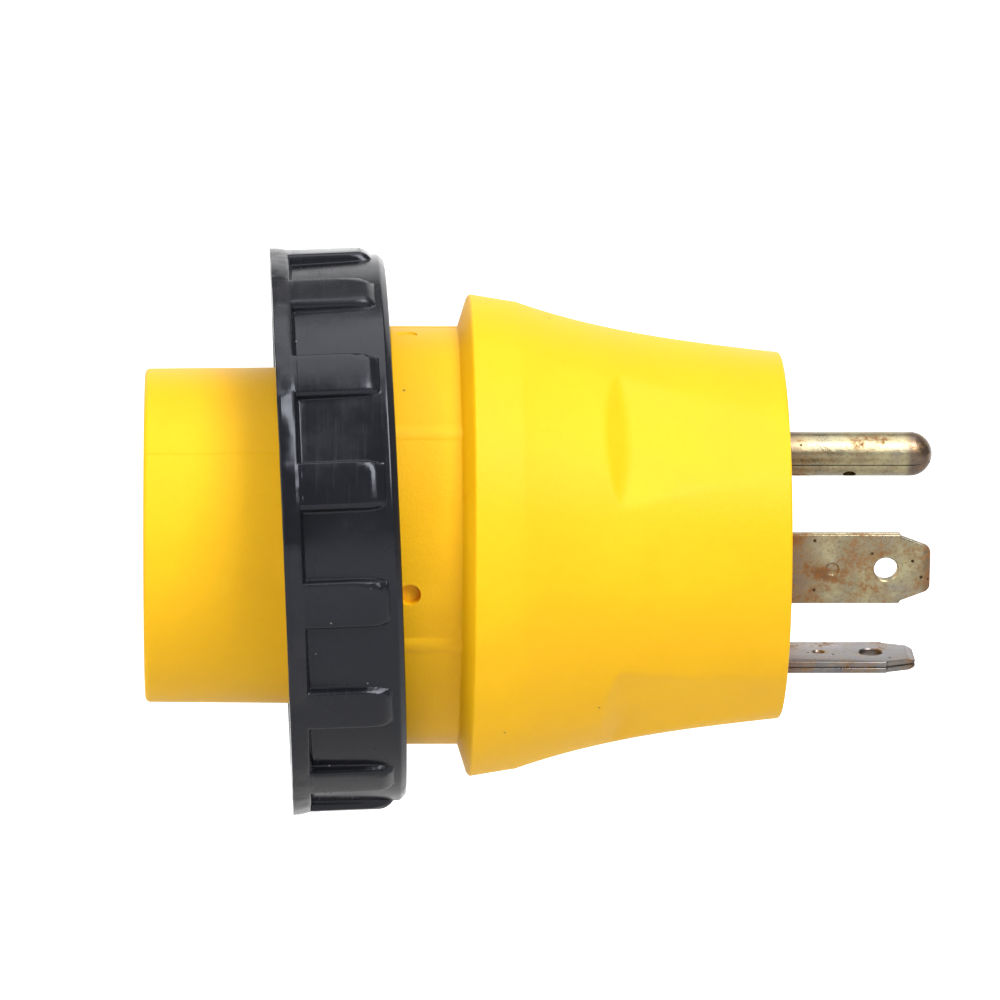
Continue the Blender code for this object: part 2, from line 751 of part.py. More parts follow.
def gasket_profile():
    rear = WEB_FRONT - GAP
    return [
        (GASKET_INNER_RADIUS, rear),
        (GASKET_OUTER_RADIUS, rear),
        (GASKET_OUTER_RADIUS, GASKET_FRONT),
        (GASKET_INNER_RADIUS, GASKET_FRONT),
    ]


def make_ring_and_gasket(ring_material, gasket_material):
    """Both turn about the ring's own axis, so both hang from an empty that lies on it."""
    axis = bpy.data.objects.new("ring_axis", None)
    axis.empty_display_size = LIP_RADIUS
    bpy.data.collections["travel_trailer_adapter"].objects.link(axis)
    axis.location = RING_CENTRE
    axis.rotation_euler = (0.0, math.pi / 2 - RING_TILT, 0.0)
    ring = add_part("locking_ring", turned_mesh("locking_ring", ring_profile(), RING_STEPS), ring_material)
    gasket_data = turned_mesh("sealing_gasket", gasket_profile(), HOUSING_STEPS)
    gasket = add_part("sealing_gasket", gasket_data, gasket_material)
    pads = add_cutter("grip_pads", pads_mesh("grip_pads"))
    thread = add_cutter("ring_thread", thread_mesh("ring_thread"))
    for child in (ring, gasket, pads, thread):
        child.parent = axis
    combine(ring, pads, "UNION")
    combine(ring, thread, "UNION")
    return ring, gasket


def main():
    clear_scene()
    make_collection("travel_trailer_adapter")
    make_collection("cutters")
    yellow = make_material("yellow_body", (0.93, 0.62, 0.03), 0.42)
    black_insert = make_material("insert_plastic", (0.03, 0.03, 0.033), 0.5)
    grey_core = make_material("core_plastic", (0.32, 0.32, 0.33), 0.6)
    plated = make_material("plated_steel", (0.55, 0.50, 0.38), 0.38, 1.0)
    brass = make_material("contact_brass", (0.72, 0.53, 0.24), 0.35, 1.0)
    ring_black = make_material("ring_plastic", (0.022, 0.023, 0.027), 0.28)
    rubber = make_material("gasket_rubber", (0.02, 0.02, 0.02), 0.8)
    wiring = {
        "copper": make_material("bare_copper", (0.80, 0.38, 0.22), 0.3, 1.0),
        "crimp": make_material("tinned_crimp", (0.62, 0.62, 0.60), 0.35, 1.0),
        "jacket_line": make_material("black_jacket", (0.02, 0.02, 0.02), 0.5),
        "jacket_neutral": make_material("white_jacket", (0.80, 0.80, 0.78), 0.5),
        "jacket_ground": make_material("green_jacket", (0.04, 0.32, 0.10), 0.5),
    }
    contact_rolls = {
        "line": LINE_CONTACT_ROLL,
        "neutral": NEUTRAL_CONTACT_ROLL,
        "ground": GROUND_ROLL,
    }
    towards_ground = outward(GROUND_ROLL)
    sideways = outward(GROUND_ROLL + math.pi / 2)
    pin_spots = {
        "line": sideways * BLADE_SPREAD - towards_ground * BLADE_DROP,
        "neutral": -sideways * BLADE_SPREAD - towards_ground * BLADE_DROP,
        "ground": towards_ground * GROUND_PIN_OFFSET,
    }
    width_rolls = {"line": GROUND_ROLL + BLADE_TILT, "neutral": GROUND_ROLL - BLADE_TILT}
    wire_ends = {
        pole: (outward(roll) * SLOT_PITCH_RADIUS, pin_spots[pole])
        for pole, roll in contact_rolls.items()
    }

    shell = make_body_shell(yellow)
    make_socket_housing(yellow)
    make_socket_insert(black_insert, contact_rolls)
    make_socket_cover(grey_core, contact_rolls)
    make_contacts(brass, contact_rolls)
    make_wiring(wiring, wire_ends)
    make_inner_core(grey_core, wire_ends)
    carrier = make_carrier(grey_core)
    make_pin_openings((shell, carrier), pin_spots, width_rolls)
    for pole, width_roll in width_rolls.items():
        make_blade(f"blade_{pole}", pin_spots[pole], width_roll, plated)
    make_ground_pin(pin_spots["ground"], plated)
    make_ring_and_gasket(ring_black, rubber)


main()
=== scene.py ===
"""Trailer power plug adapter: its shown surfaces, finishes and studio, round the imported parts."""

import math
from functools import partial

import bmesh
import bpy
from mathutils import Matrix, Vector, noise


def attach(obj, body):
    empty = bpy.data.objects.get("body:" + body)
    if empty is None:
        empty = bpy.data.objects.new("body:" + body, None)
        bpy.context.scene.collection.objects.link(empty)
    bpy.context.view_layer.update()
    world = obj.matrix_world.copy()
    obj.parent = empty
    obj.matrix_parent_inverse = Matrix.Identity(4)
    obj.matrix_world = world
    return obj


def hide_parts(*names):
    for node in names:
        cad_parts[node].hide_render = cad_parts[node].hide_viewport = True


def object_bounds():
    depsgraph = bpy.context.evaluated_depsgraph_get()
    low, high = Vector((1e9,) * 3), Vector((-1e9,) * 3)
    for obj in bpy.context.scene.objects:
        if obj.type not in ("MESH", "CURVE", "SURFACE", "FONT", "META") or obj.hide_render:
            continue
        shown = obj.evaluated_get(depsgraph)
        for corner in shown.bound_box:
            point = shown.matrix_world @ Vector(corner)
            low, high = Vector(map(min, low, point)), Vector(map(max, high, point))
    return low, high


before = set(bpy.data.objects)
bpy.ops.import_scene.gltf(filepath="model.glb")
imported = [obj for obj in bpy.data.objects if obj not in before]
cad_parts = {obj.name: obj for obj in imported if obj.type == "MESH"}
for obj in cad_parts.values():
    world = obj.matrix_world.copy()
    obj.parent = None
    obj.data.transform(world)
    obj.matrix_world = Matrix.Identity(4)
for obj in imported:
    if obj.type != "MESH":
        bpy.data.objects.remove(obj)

bl_info = {
    "name": "Trailer Plug Adapter",
    "version": (1, 0, 0),
    "blender": (4, 5, 0),
    "location": "3D View > Sidebar > Adapter",
    "description": "Moulded trailer plug adapter with a threaded locking ring",
    "category": "Object",
}

CAD_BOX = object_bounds()

OVERRUN = 0.001  # of a cutter past the surface that it cuts
EDGE_ROUNDING = 0.0004
SMALL_ROUNDING = 0.0003
FINE_ROUNDING = 0.0002
CREASE_ANGLE = math.radians(30)
ALONG_X = Matrix.Rotation(math.pi / 2, 4, "Y")  # turns +Z to +X

# Rolls are angles about the adapter's axis, +X, from +Y towards +Z.
GROUND_ROLL = math.radians(61)
CONTACT_ROLLS = {
    "line": GROUND_ROLL + math.radians(120),
    "neutral": GROUND_ROLL - math.radians(120),
    "ground": GROUND_ROLL,
}
PARTING_ROLL = GROUND_ROLL + math.pi / 2

# Body shell
CAVITY_RADIUS = 0.0224
FACE_THICKNESS = 0.0032
FACE_RADIUS = 0.0251
GRIP_SLOPE = 0.11
GRIP_FLARE = 61.0
GRIP_END = -0.0363
GRIP_ROWS = 84
GRIP_INSIDE = CAVITY_RADIUS + 0.001  # what lies nearer the axis isn't pressed in
LAND_FRONT = (-0.0367, 0.03205)
LAND_REAR = (-0.0425, 0.0330)
LAND_FOOT = (LAND_REAR[0] - 0.0004, LAND_REAR[1] - 0.0005)
LAND_ROUNDING = 0.00022
COLLAR_RADIUS = 0.0284
COLLAR_FRONT = -0.0442
COLLAR_REAR = -0.0537
COLLAR_ROUNDING = 0.0005
SHELL_STEPS = 384
PIN_GAP = 0.00012
RIB_COUNT = 6
RIB_FRONT = COLLAR_FRONT + 0.0005
RIB_REAR = COLLAR_REAR + 0.0004
TOOL_HOLE_COUNT = 4
TOOL_HOLE_RADIUS = 0.00145
TOOL_HOLE_DEPTH = 0.0013
FLASHED_HOLE_DEPTH = 0.00025  # of the first, which is all but closed by flash
TOOL_HOLE_X = -0.0512
RECESS_COUNT = 4
RECESS_FACE_DISTANCE = 0.0247
RECESS_DEEP_DISTANCE = 0.0262
RECESS_DEEP_X = -0.0195
RECESS_WALL_X = -0.0251
RECESS_WALL_SLOPE = 0.54
RECESS_CREASE = 0.0006

# Socket end
NOSE_TIP = -0.08675
NOSE_TIP_RADIUS = 0.0228
NOSE_ROOT_RADIUS = 0.0230
NOSE_BORE_RADIUS = 0.0209
NOSE_BORE_END = -0.0697
NOSE_ROUNDING = 0.0007
NOSE_OUTSIDE = NOSE_BORE_RADIUS + 0.001  # parts the nose's outside from its bore
FLANGE_FRONT = -0.0652
FLANGE_REAR = -0.0628
FLANGE_RADIUS = 0.0253
NECK_RADIUS = 0.0226
NECK_END = COLLAR_REAR - 0.0003
HOUSING_STEPS = 720
SPIGOT_RADIUS = 0.0221
SPIGOT_END = -0.0400
SPIGOT_BORE_RADIUS = 0.0180
INSERT_RADIUS = 0.0206
INSERT_FRONT = -0.08645
INSERT_REAR = -0.0726
DISH_RADIUS = 0.0052
DISH_FLOOR_RADIUS = 0.0046
DISH_DEPTH = 0.0004
SLOT_PITCH_RADIUS = 0.0143
SLOT_WIDTH = 0.0024
SLOT_ARC = math.radians(38)
SLOT_LEAD = 0.0004
HOOK_LENGTH = 0.0026
HOOK_DEPTH = 0.0100
POCKET_FRONT = -0.0832
POCKET_REAR = INSERT_REAR + OVERRUN
POCKET_HALF_LENGTH = 0.0034
POCKET_HALF_HEIGHT = 0.0025

# Pins
GROUND_PIN_OFFSET = 0.0128
GROUND_PIN_RADIUS = 0.00305
GROUND_PIN_LENGTH = 0.0217
SEAM_ROLL = math.radians(212)
SEAM_HALF_WIDTH = 0.00014
SEAM_DEPTH = 0.0003
SEAM_PINCH = 0.15  # of its width, at the bottom
SEAM_START = -0.004
SEAM_END = GROUND_PIN_LENGTH - 0.0016
LOCATING_HOLE_ROLL = math.radians(250)
LOCATING_HOLE_X = 0.0102
LOCATING_HOLE_RADII = (0.0008, 0.0010)
LOCATING_HOLE_DEPTH = 0.0012
BLADE_DROP = 0.01215
BLADE_SPREAD = 0.0130
BLADE_TILT = math.radians(45)
BLADE_LENGTH = 0.0191
BLADE_WIDTH = 0.0096
BLADE_THICKNESS = 0.0016
BLADE_TAPER_START = 0.0149
BLADE_TIP_WIDTH = 0.0058
BLADE_ROUNDING = 0.00016
BLADE_TIP_ROUNDING = 0.0006
BLADE_CORE_DEPTH = 0.0003  # of the fold's core under the edges and in each layer
BLADE_HOLE_RADIUS = 0.0016
BLADE_HOLE_X = 0.0131
BLADE_HOLE_FLARE = 0.00015
BLADE_HOLE_OVERRUN = 0.0005
DIMPLE_RADIUS = 0.00095
DIMPLE_X = 0.0059
DIMPLE_DEPTH = 0.00022
TIP_BEVEL = 0.0010
TIP_BEVEL_ANGLE = math.radians(22)
TAIL_WIDTH = 0.0042
TAIL_START = -0.0093
TAIL_END = -0.0142

# Locking ring, along its own axis from its middle, towards the plug
RING_CENTRE = Vector((-0.06045, 0.0, 0.0008))
RING_TILT = math.radians(2.4)
RING_HALF_LENGTH = 0.00775
LIP_RADIUS = 0.0384
LIP_FLARE = 0.00045
LIP_ROUNDING = 0.0005
LIP_REAR = -0.00505
POCKET_RADIUS = 0.0371
BAND_RADIUS = 0.0374
BAND_END = 0.0069
RIM_RADIUS = 0.0365
PAD_COUNT = 15
PAD_RADIUS = 0.0385
PAD_DEGREES = 10
FIRST_PAD_DEGREE = 166
PAD_TOP_END = 0.0040
PAD_END = 0.0060
PAD_CORNER = 0.0011
PAD_END_FILLET = 0.0005
GRIP_FILLET = 0.0003
RIM_ROUNDING = 0.0006
LIP_END_ROUNDING = 0.00015
MOUTH_ROUNDING = 0.0007
OUTSIDE_RADIUS = BAND_RADIUS - 0.0004  # parts the ring's outside from its bore
GRIPS_END = BAND_END - 0.0003
WEAR_RADIUS = LIP_RADIUS - 0.0004
WEAR_END = LIP_REAR + 0.0001
LIP_ROWS = (-0.0058, -0.0062, -0.0066, -0.0069, -0.0072)
# Arcs of the lip's corner that are worn off: middle and half width in degrees of roll, depth
WORN_ARCS = (
    (147, 7, 0.00026),
    (161, 5, 0.00018),
    (172, 9, 0.00030),
    (214, 3, 0.00012),
    (31, 9, 0.00022),
    (79, 5, 0.00012),
    (287, 8, 0.00024),
    (333, 5, 0.00018),
)
THREAD_RADIUS = 0.0322
THREAD_CREST_RADIUS = 0.0310
THREAD_START = -0.0064
THREAD_PITCH = 0.0032
THREAD_TURNS = 1.75
THREAD_STEPS = 210
THREAD_DEPTH = 0.0005  # of the ridge's root in the bore's wall
THREAD_CREST_HALF = 0.0004
THREAD_ROOT_HALF = 0.0012
WEB_FRONT = 0.00195
WEB_REAR = 0.00445
WEB_BORE_RADIUS = 0.0239
SKIRT_BORE_RADIUS = 0.0302
GASKET_FRONT = -0.00015
GASKET_REAR = 0.00165
GASKET_INNER_RADIUS = 0.0236
GASKET_OUTER_RADIUS = 0.0305

# Studio
SWEEP_REACH = 3.0
SWEEP_FRONT = -2.0
SWEEP_BEND = 1.2
SWEEP_BEND_RADIUS = 0.8
SWEEP_TOP = 2.6
SOFTBOXES = {  # width and height, place
    "left": ((0.5, 0.9), (-0.80, -0.75, 0.35)),
    "right": ((0.45, 0.8), (0.36, -0.77, 0.68)),
    "top": ((1.0, 0.7), (0.0, -0.15, 1.10)),
}
CAMERA_PLACE = (-0.0729, -0.9454, 0.0048)
CAMERA_TURN = math.radians(2.1)
SENSOR_WIDTH = 36.0

ColourProperty = partial(bpy.props.FloatVectorProperty, subtype="COLOR", size=3, min=0.0, max=1.0)
FloatProperty = bpy.props.FloatProperty
LengthProperty = partial(FloatProperty, subtype="DISTANCE", unit="LENGTH")
ShareProperty = partial(FloatProperty, subtype="FACTOR", min=0.0, max=1.0)
PowerProperty = partial(FloatProperty, unit="POWER", min=0.0)


class ShellSettings(bpy.types.PropertyGroup):
    """The yellow overmould and the nose of the connector."""

    colour: ColourProperty(
        name="Yellow",
        description="Colour of the soft moulded plastic",
        default=(0.90, 0.486, 0.004),
    )
    roughness: ShareProperty(
        name="Roughness",
        description="How matte the moulded surface is",
        default=0.50,
    )
    recess_softness: LengthProperty(
        name="Recess softness",
        description="Width over which a finger recess rolls into the grip",
        min=0.0001,
        max=0.003,
        default=0.0003,
    )
    rib_height: LengthProperty(
        name="Rib height",
        description="How far the collar's ribs stand out",
        min=0.0,
        max=0.0006,
        default=0.00022,
    )
    rib_radius: LengthProperty(
        name="Rib radius",
        description="Radius of the round tops of the collar's ribs",
        min=0.001,
        max=0.004,
        default=0.0028,
    )
    parting_height: LengthProperty(
        name="Parting line",
        description="Height of the witness line that the mould halves leave on the nose",
        min=0.0,
        max=0.0002,
        default=0.00011,
    )


class RingSettings(bpy.types.PropertyGroup):
    """The black locking ring and its washer."""

    colour: ColourProperty(
        name="Black",
        description="Colour of the glossy ring",
        default=(0.0065, 0.0068, 0.0090),
    )
    roughness: ShareProperty(
        name="Roughness",
        description="Roughness of the ring where it isn't scuffed",
        default=0.19,
    )
    pad_rounding: LengthProperty(
        name="Pad rounding",
        description="Width of the rounding on the lower edges of the grip pads",
        min=0.0002,
        max=0.0014,
        default=0.0009,
    )
    lip_wear: LengthProperty(
        name="Lip wear",
        description="How unevenly the edge of the lip is worn",
        min=0.0,
        max=0.0002,
        default=0.00007,
    )


class PinSettings(bpy.types.PropertyGroup):
    """The plated pins."""

    colour: ColourProperty(
        name="Plating",
        description="Colour of the passivated zinc plating",
        default=(0.42, 0.365, 0.22),
    )
    rust_colour: ColourProperty(
        name="Rust",
        description="Colour of the rust patches",
        default=(0.12, 0.036, 0.006),
    )
    rust: ShareProperty(
        name="Rust amount",
        description="Share of the pins that rust has reached",
        default=0.42,
    )
    slit: LengthProperty(
        name="Blade slit",
        description="Gap that shows between the two layers of a folded blade",
        min=0.0,
        max=0.0003,
        default=0.00012,
    )


class StudioSettings(bpy.types.PropertyGroup):
    """Light, floor and camera."""

    left_power: PowerProperty(
        name="Left softbox",
        description="Power of the tall soft light on the socket side",
        default=6.6,
    )
    right_power: PowerProperty(
        name="Right softbox",
        description="Power of the tall soft light on the plug side",
        default=11.5,
    )
    top_power: PowerProperty(
        name="Top softbox",
        description="Power of the wide soft light overhead",
        default=5.0,
    )
    surround: FloatProperty(
        name="Surround",
        description="Strength of the even light from all round",
        min=0.0,
        default=0.30,
    )
    floor_drop: LengthProperty(
        name="Floor drop",
        description="How far the floor lies under the adapter's axis",
        min=0.04,
        default=0.12,
    )
    lens: FloatProperty(
        name="Lens",
        description="Focal length of the camera in millimetres",
        min=20.0,
        default=248.6,
    )


def roll_direction(roll):
    """Unit vector away from the adapter's axis at this roll."""
    return Vector((0.0, math.cos(roll), math.sin(roll)))


def turn_to(roll):
    """Turns +Z to this roll about the adapter's axis."""
    return Matrix.Rotation(roll - math.pi / 2, 4, "X")


def ring_place():
    """From the ring's own frame, with its axis along X, to the adapter's frame."""
    return Matrix.Translation(RING_CENTRE) @ Matrix.Rotation(-RING_TILT, 4, "Y")


def rounded(corners, steps=4):
    """Points of a closed (x, radius, rounding) outline, with an arc at each rounded corner."""
    points = []
    for i, (x, radius, size) in enumerate(corners):
        here = Vector((x, radius))
        if size == 0.0:
            points.append(here)
            continue
        before = (Vector(corners[i - 1][:2]) - here).normalized()
        after = (Vector(corners[(i + 1) % len(corners)][:2]) - here).normalized()
        half = before.angle(after) / 2
        centre = here + (before + after).normalized() * (size / math.sin(half))
        start = here + before * (size / math.tan(half)) - centre
        end = here + after * (size / math.tan(half)) - centre
        for k in range(steps + 1):
            points.append(centre + start.lerp(end, k / steps).normalized() * size)
    return points


def spin(bm, geom, arc, steps, rise=0.0):
    """Spins geometry round the X axis, rising along it, and closes what meets."""
    bmesh.ops.spin(
        bm,
        geom=geom,
        cent=(0.0, 0.0, 0.0),
        axis=(1.0, 0.0, 0.0),
        dvec=(rise / steps, 0.0, 0.0),
        angle=arc,
        steps=steps,
        use_merge=arc == math.tau,
        use_duplicate=False,
    )
    bmesh.ops.remove_doubles(bm, verts=bm.verts, dist=1e-6)
    bmesh.ops.recalc_face_normals(bm, faces=bm.faces)
    return bm


def turned(outline, steps, closed=True):
    """An (x, radius) outline turned once round the X axis."""
    bm = bmesh.new()
    verts = [bm.verts.new((x, radius, 0.0)) for x, radius in outline]
    ends = verts[1:] + verts[:1] if closed else verts[1:]
    edges = [bm.edges.new(pair) for pair in zip(verts, ends)]
    return spin(bm, verts + edges, math.tau, steps)


def cuboid(low, high, place=None):
    bm = bmesh.new()
    low, high = Vector(low), Vector(high)
    size = Matrix.Diagonal((*(high - low), 1.0))
    bmesh.ops.create_cube(bm, size=1.0, matrix=Matrix.Translation((low + high) / 2) @ size)
    if place is not None:
        bmesh.ops.transform(bm, matrix=place, verts=bm.verts)
    return bm


def cone(radius1, radius2, depth, segments, place):
    """A closed cone or cylinder along its own Z axis, with its middle at this place."""
    bm = bmesh.new()
    bmesh.ops.create_cone(
        bm,
        cap_ends=True,
        segments=segments,
        radius1=radius1,
        radius2=radius2,
        depth=depth,
        matrix=place,
    )
    return bm


def thick_face(outline, low, high):
    """A flat (x, z) outline made solid between two y."""
    bm = bmesh.new()
    face = bm.faces.new([bm.verts.new((x, low, z)) for x, z in outline])
    grown = bmesh.ops.extrude_face_region(bm, geom=[face])
    moved = [item for item in grown["geom"] if isinstance(item, bmesh.types.BMVert)]
    bmesh.ops.translate(bm, verts=moved, vec=(0.0, high - low, 0.0))
    bmesh.ops.recalc_face_normals(bm, faces=bm.faces)
    return bm


def swept_section(section, arc, steps, rise=0.0):
    """A closed (x, radius) section swept round the X axis by an arc, rising along it."""
    bm = bmesh.new()
    face = bm.faces.new([bm.verts.new((x, radius, 0.0)) for x, radius in section])
    return spin(bm, [face, *face.edges, *face.verts], arc, steps, rise)


def new_object(name, bm):
    mesh = bpy.data.meshes.new(name)
    bm.to_mesh(mesh)
    bm.free()
    obj = bpy.data.objects.new(name, mesh)
    bpy.context.scene.collection.objects.link(obj)
    return obj


def combine(obj, tools, operation="DIFFERENCE"):
    """Cuts the tools out of obj, or joins them on with operation UNION. They don't overlap."""
    together = bmesh.new()
    for tool_bm in tools:
        part = bpy.data.meshes.new("part")
        tool_bm.to_mesh(part)
        tool_bm.free()
        together.from_mesh(part)
        bpy.data.meshes.remove(part)
    tool = new_object("tool", together)
    step = obj.modifiers.new("combine", "BOOLEAN")
    step.operation = operation
    step.solver = "EXACT"
    step.object = tool
    with bpy.context.temp_override(object=obj, active_object=obj, selected_objects=[obj]):
        bpy.ops.object.modifier_apply(modifier=step.name)
    spare = tool.data
    bpy.data.objects.remove(tool)
    bpy.data.meshes.remove(spare)


def finish_piece(obj, body, nodes, material):
    """Smooth shading with creases, the material, and the CAD nodes that the piece stands for."""
    obj.data.shade_smooth()
    obj.data.set_sharp_from_angle(angle=CREASE_ANGLE)
    obj.data.materials.clear()
    obj.data.materials.append(material)
    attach(obj, body)
    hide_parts(*nodes)


class Finish:
    """A material's node tree, with short calls for the nodes that the finishes share."""

    def __init__(self, name):
        self.material = bpy.data.materials.new(name)
        self.material.use_nodes = True
        self.tree = self.material.node_tree
        self.shader = self.tree.nodes["Principled BSDF"]
        self.place = self.add("ShaderNodeTexCoord").outputs["Object"]

    def add(self, kind, **settings):
        node = self.tree.nodes.new(kind)
        for key, value in settings.items():
            setattr(node, key, value)
        return node

    def feed(self, socket, value):
        """Links a socket to another, or sets its value."""
        if isinstance(value, bpy.types.NodeSocket):
            self.tree.links.new(value, socket)
        elif isinstance(value, (tuple, list)) and len(value) == 3 and socket.type == "RGBA":
            socket.default_value = (*value, 1.0)
        else:
            socket.default_value = value

    def wired(self, kind, values, output, **settings):
        """A new node's output, with the node's inputs linked or set."""
        node = self.add(kind, **settings)
        for socket, value in values.items():
            self.feed(node.inputs[socket], value)
        return node.outputs[output]

    def stretched(self, scale):
        return self.wired("ShaderNodeMapping", {"Vector": self.place, "Scale": scale}, "Vector")

    def noise(self, scale, detail, roughness, vector=None, distortion=0.0):
        values = {"Vector": vector or self.place, "Scale": scale, "Detail": detail}
        values |= {"Roughness": roughness, "Distortion": distortion}
        return self.wired("ShaderNodeTexNoise", values, "Fac")

    def band(self, value, low, high, start=0.0, end=1.0):
        """Maps low..high to start..end, held beyond them."""
        values = {"Value": value, "From Min": low, "From Max": high}
        values |= {"To Min": start, "To Max": end}
        return self.wired("ShaderNodeMapRange", values, "Result", interpolation_type="SMOOTHSTEP")

    def maths(self, operation, first, second):
        return self.wired("ShaderNodeMath", {0: first, 1: second}, "Value", operation=operation)

    def times(self, first, second):
        return self.maths("MULTIPLY", first, second)

    def mix(self, factor, first, second):
        return self.wired("ShaderNodeMix", {0: factor, 6: first, 7: second}, 2, data_type="RGBA")

    def blend(self, factor, first, second):
        return self.wired("ShaderNodeMix", {0: factor, 2: first, 3: second}, 0, data_type="FLOAT")

    def axis(self, name, vector=None):
        return self.wired("ShaderNodeSeparateXYZ", {"Vector": vector or self.place}, name)

    def bump(self, height, distance, strength, under=None):
        values = {"Distance": distance, "Strength": strength, "Height": height}
        if under is not None:
            values["Normal"] = under
        return self.wired("ShaderNodeBump", values, "Normal")

    def specks(self, scale, radius, share):
        """Small dots: one in the middle of some of the cells."""
        values = {"Vector": self.place, "Scale": scale}
        distance = self.wired("ShaderNodeTexVoronoi", values, "Distance")
        dot = self.band(distance, radius, radius * 1.8, 1.0, 0.0)
        colour = {"Color": distance.node.outputs["Color"]}
        chosen = self.wired("ShaderNodeSeparateColor", colour, "Red")
        return self.times(dot, self.maths("LESS_THAN", chosen, share))

    def set(self, **values):
        for name, value in values.items():
            self.feed(self.shader.inputs[name.replace("_", " ")], value)
        return self.material


def yellow_plastic(name, settings):
    finish = Finish(name)
    colour = Vector(settings.colour)
    cloud = finish.noise(55.0, 3.0, 0.55)
    fine = finish.noise(900.0, 2.0, 0.6)
    tint = finish.mix(
        finish.band(cloud, 0.35, 0.68),
        tuple(colour * 0.965),
        (colour.x * 1.01, colour.y * 1.035, colour.z * 1.5),
    )
    tint = finish.mix(finish.band(fine, 0.3, 0.7, 0.0, 0.10), tint, tuple(colour * 0.88))
    dirt = finish.specks(150.0, 0.022, 0.28)
    tint = finish.mix(finish.times(dirt, 0.75), tint, (0.17, 0.075, 0.02))
    sand = finish.noise(2600.0, 2.0, 0.7)
    waves = finish.noise(120.0, 2.0, 0.5)
    normal = finish.bump(waves, 0.0006, 0.10)
    normal = finish.bump(sand, 0.00012, 0.35, normal)
    rough = finish.band(cloud, 0.3, 0.7, settings.roughness - 0.04, settings.roughness + 0.06)
    return finish.set(
        Base_Color=tint,
        Roughness=rough,
        IOR=1.47,
        Specular_IOR_Level=0.23,
        Subsurface_Weight=0.12,
        Subsurface_Radius=(0.0030, 0.0014, 0.0003),
        Subsurface_Scale=1.0,
        Normal=normal,
    )


def ring_plastic(name, settings):
    finish = Finish(name)
    colour = Vector(settings.colour)
    values = {"Vector": finish.place, "Location": RING_CENTRE}
    values |= {"Rotation": (0.0, -RING_TILT, 0.0)}
    along = finish.wired("ShaderNodeMapping", values, "Vector", vector_type="TEXTURE")
    x = finish.axis("X", along)
    on_lip = finish.band(x, LIP_REAR - 0.0006, LIP_REAR + 0.0002, 1.0, 0.0)
    patches = finish.noise(70.0, 4.0, 0.65)
    scuff = finish.times(finish.band(patches, 0.48, 0.74), on_lip)
    dust = finish.specks(420.0, 0.035, 0.30)
    fine = finish.noise(1500.0, 3.0, 0.6, finish.stretched((1.0, 0.08, 0.08)))
    tint = finish.mix(finish.band(patches, 0.4, 0.7, 0.0, 0.5), tuple(colour), tuple(colour * 1.4))
    tint = finish.mix(finish.times(scuff, 0.04), tint, (0.25, 0.22, 0.20))
    tint = finish.mix(finish.times(dust, 0.55), tint, (0.30, 0.29, 0.27))
    rough = finish.band(patches, 0.35, 0.7, settings.roughness - 0.04, settings.roughness + 0.12)
    rough = finish.blend(finish.band(fine, 0.55, 0.75, 0.0, 0.4), rough, 0.5)
    rough = finish.blend(finish.times(scuff, 0.3), rough, 0.5)
    waves = finish.noise(160.0, 3.0, 0.5)
    normal = finish.bump(waves, 0.0004, 0.18)
    normal = finish.bump(fine, 0.00006, 0.25, normal)
    return finish.set(
        Base_Color=tint,
        Roughness=rough,
        IOR=1.5,
        Specular_IOR_Level=0.40,
        Specular_Tint=(0.86, 0.89, 1.0),
        Normal=normal,
    )


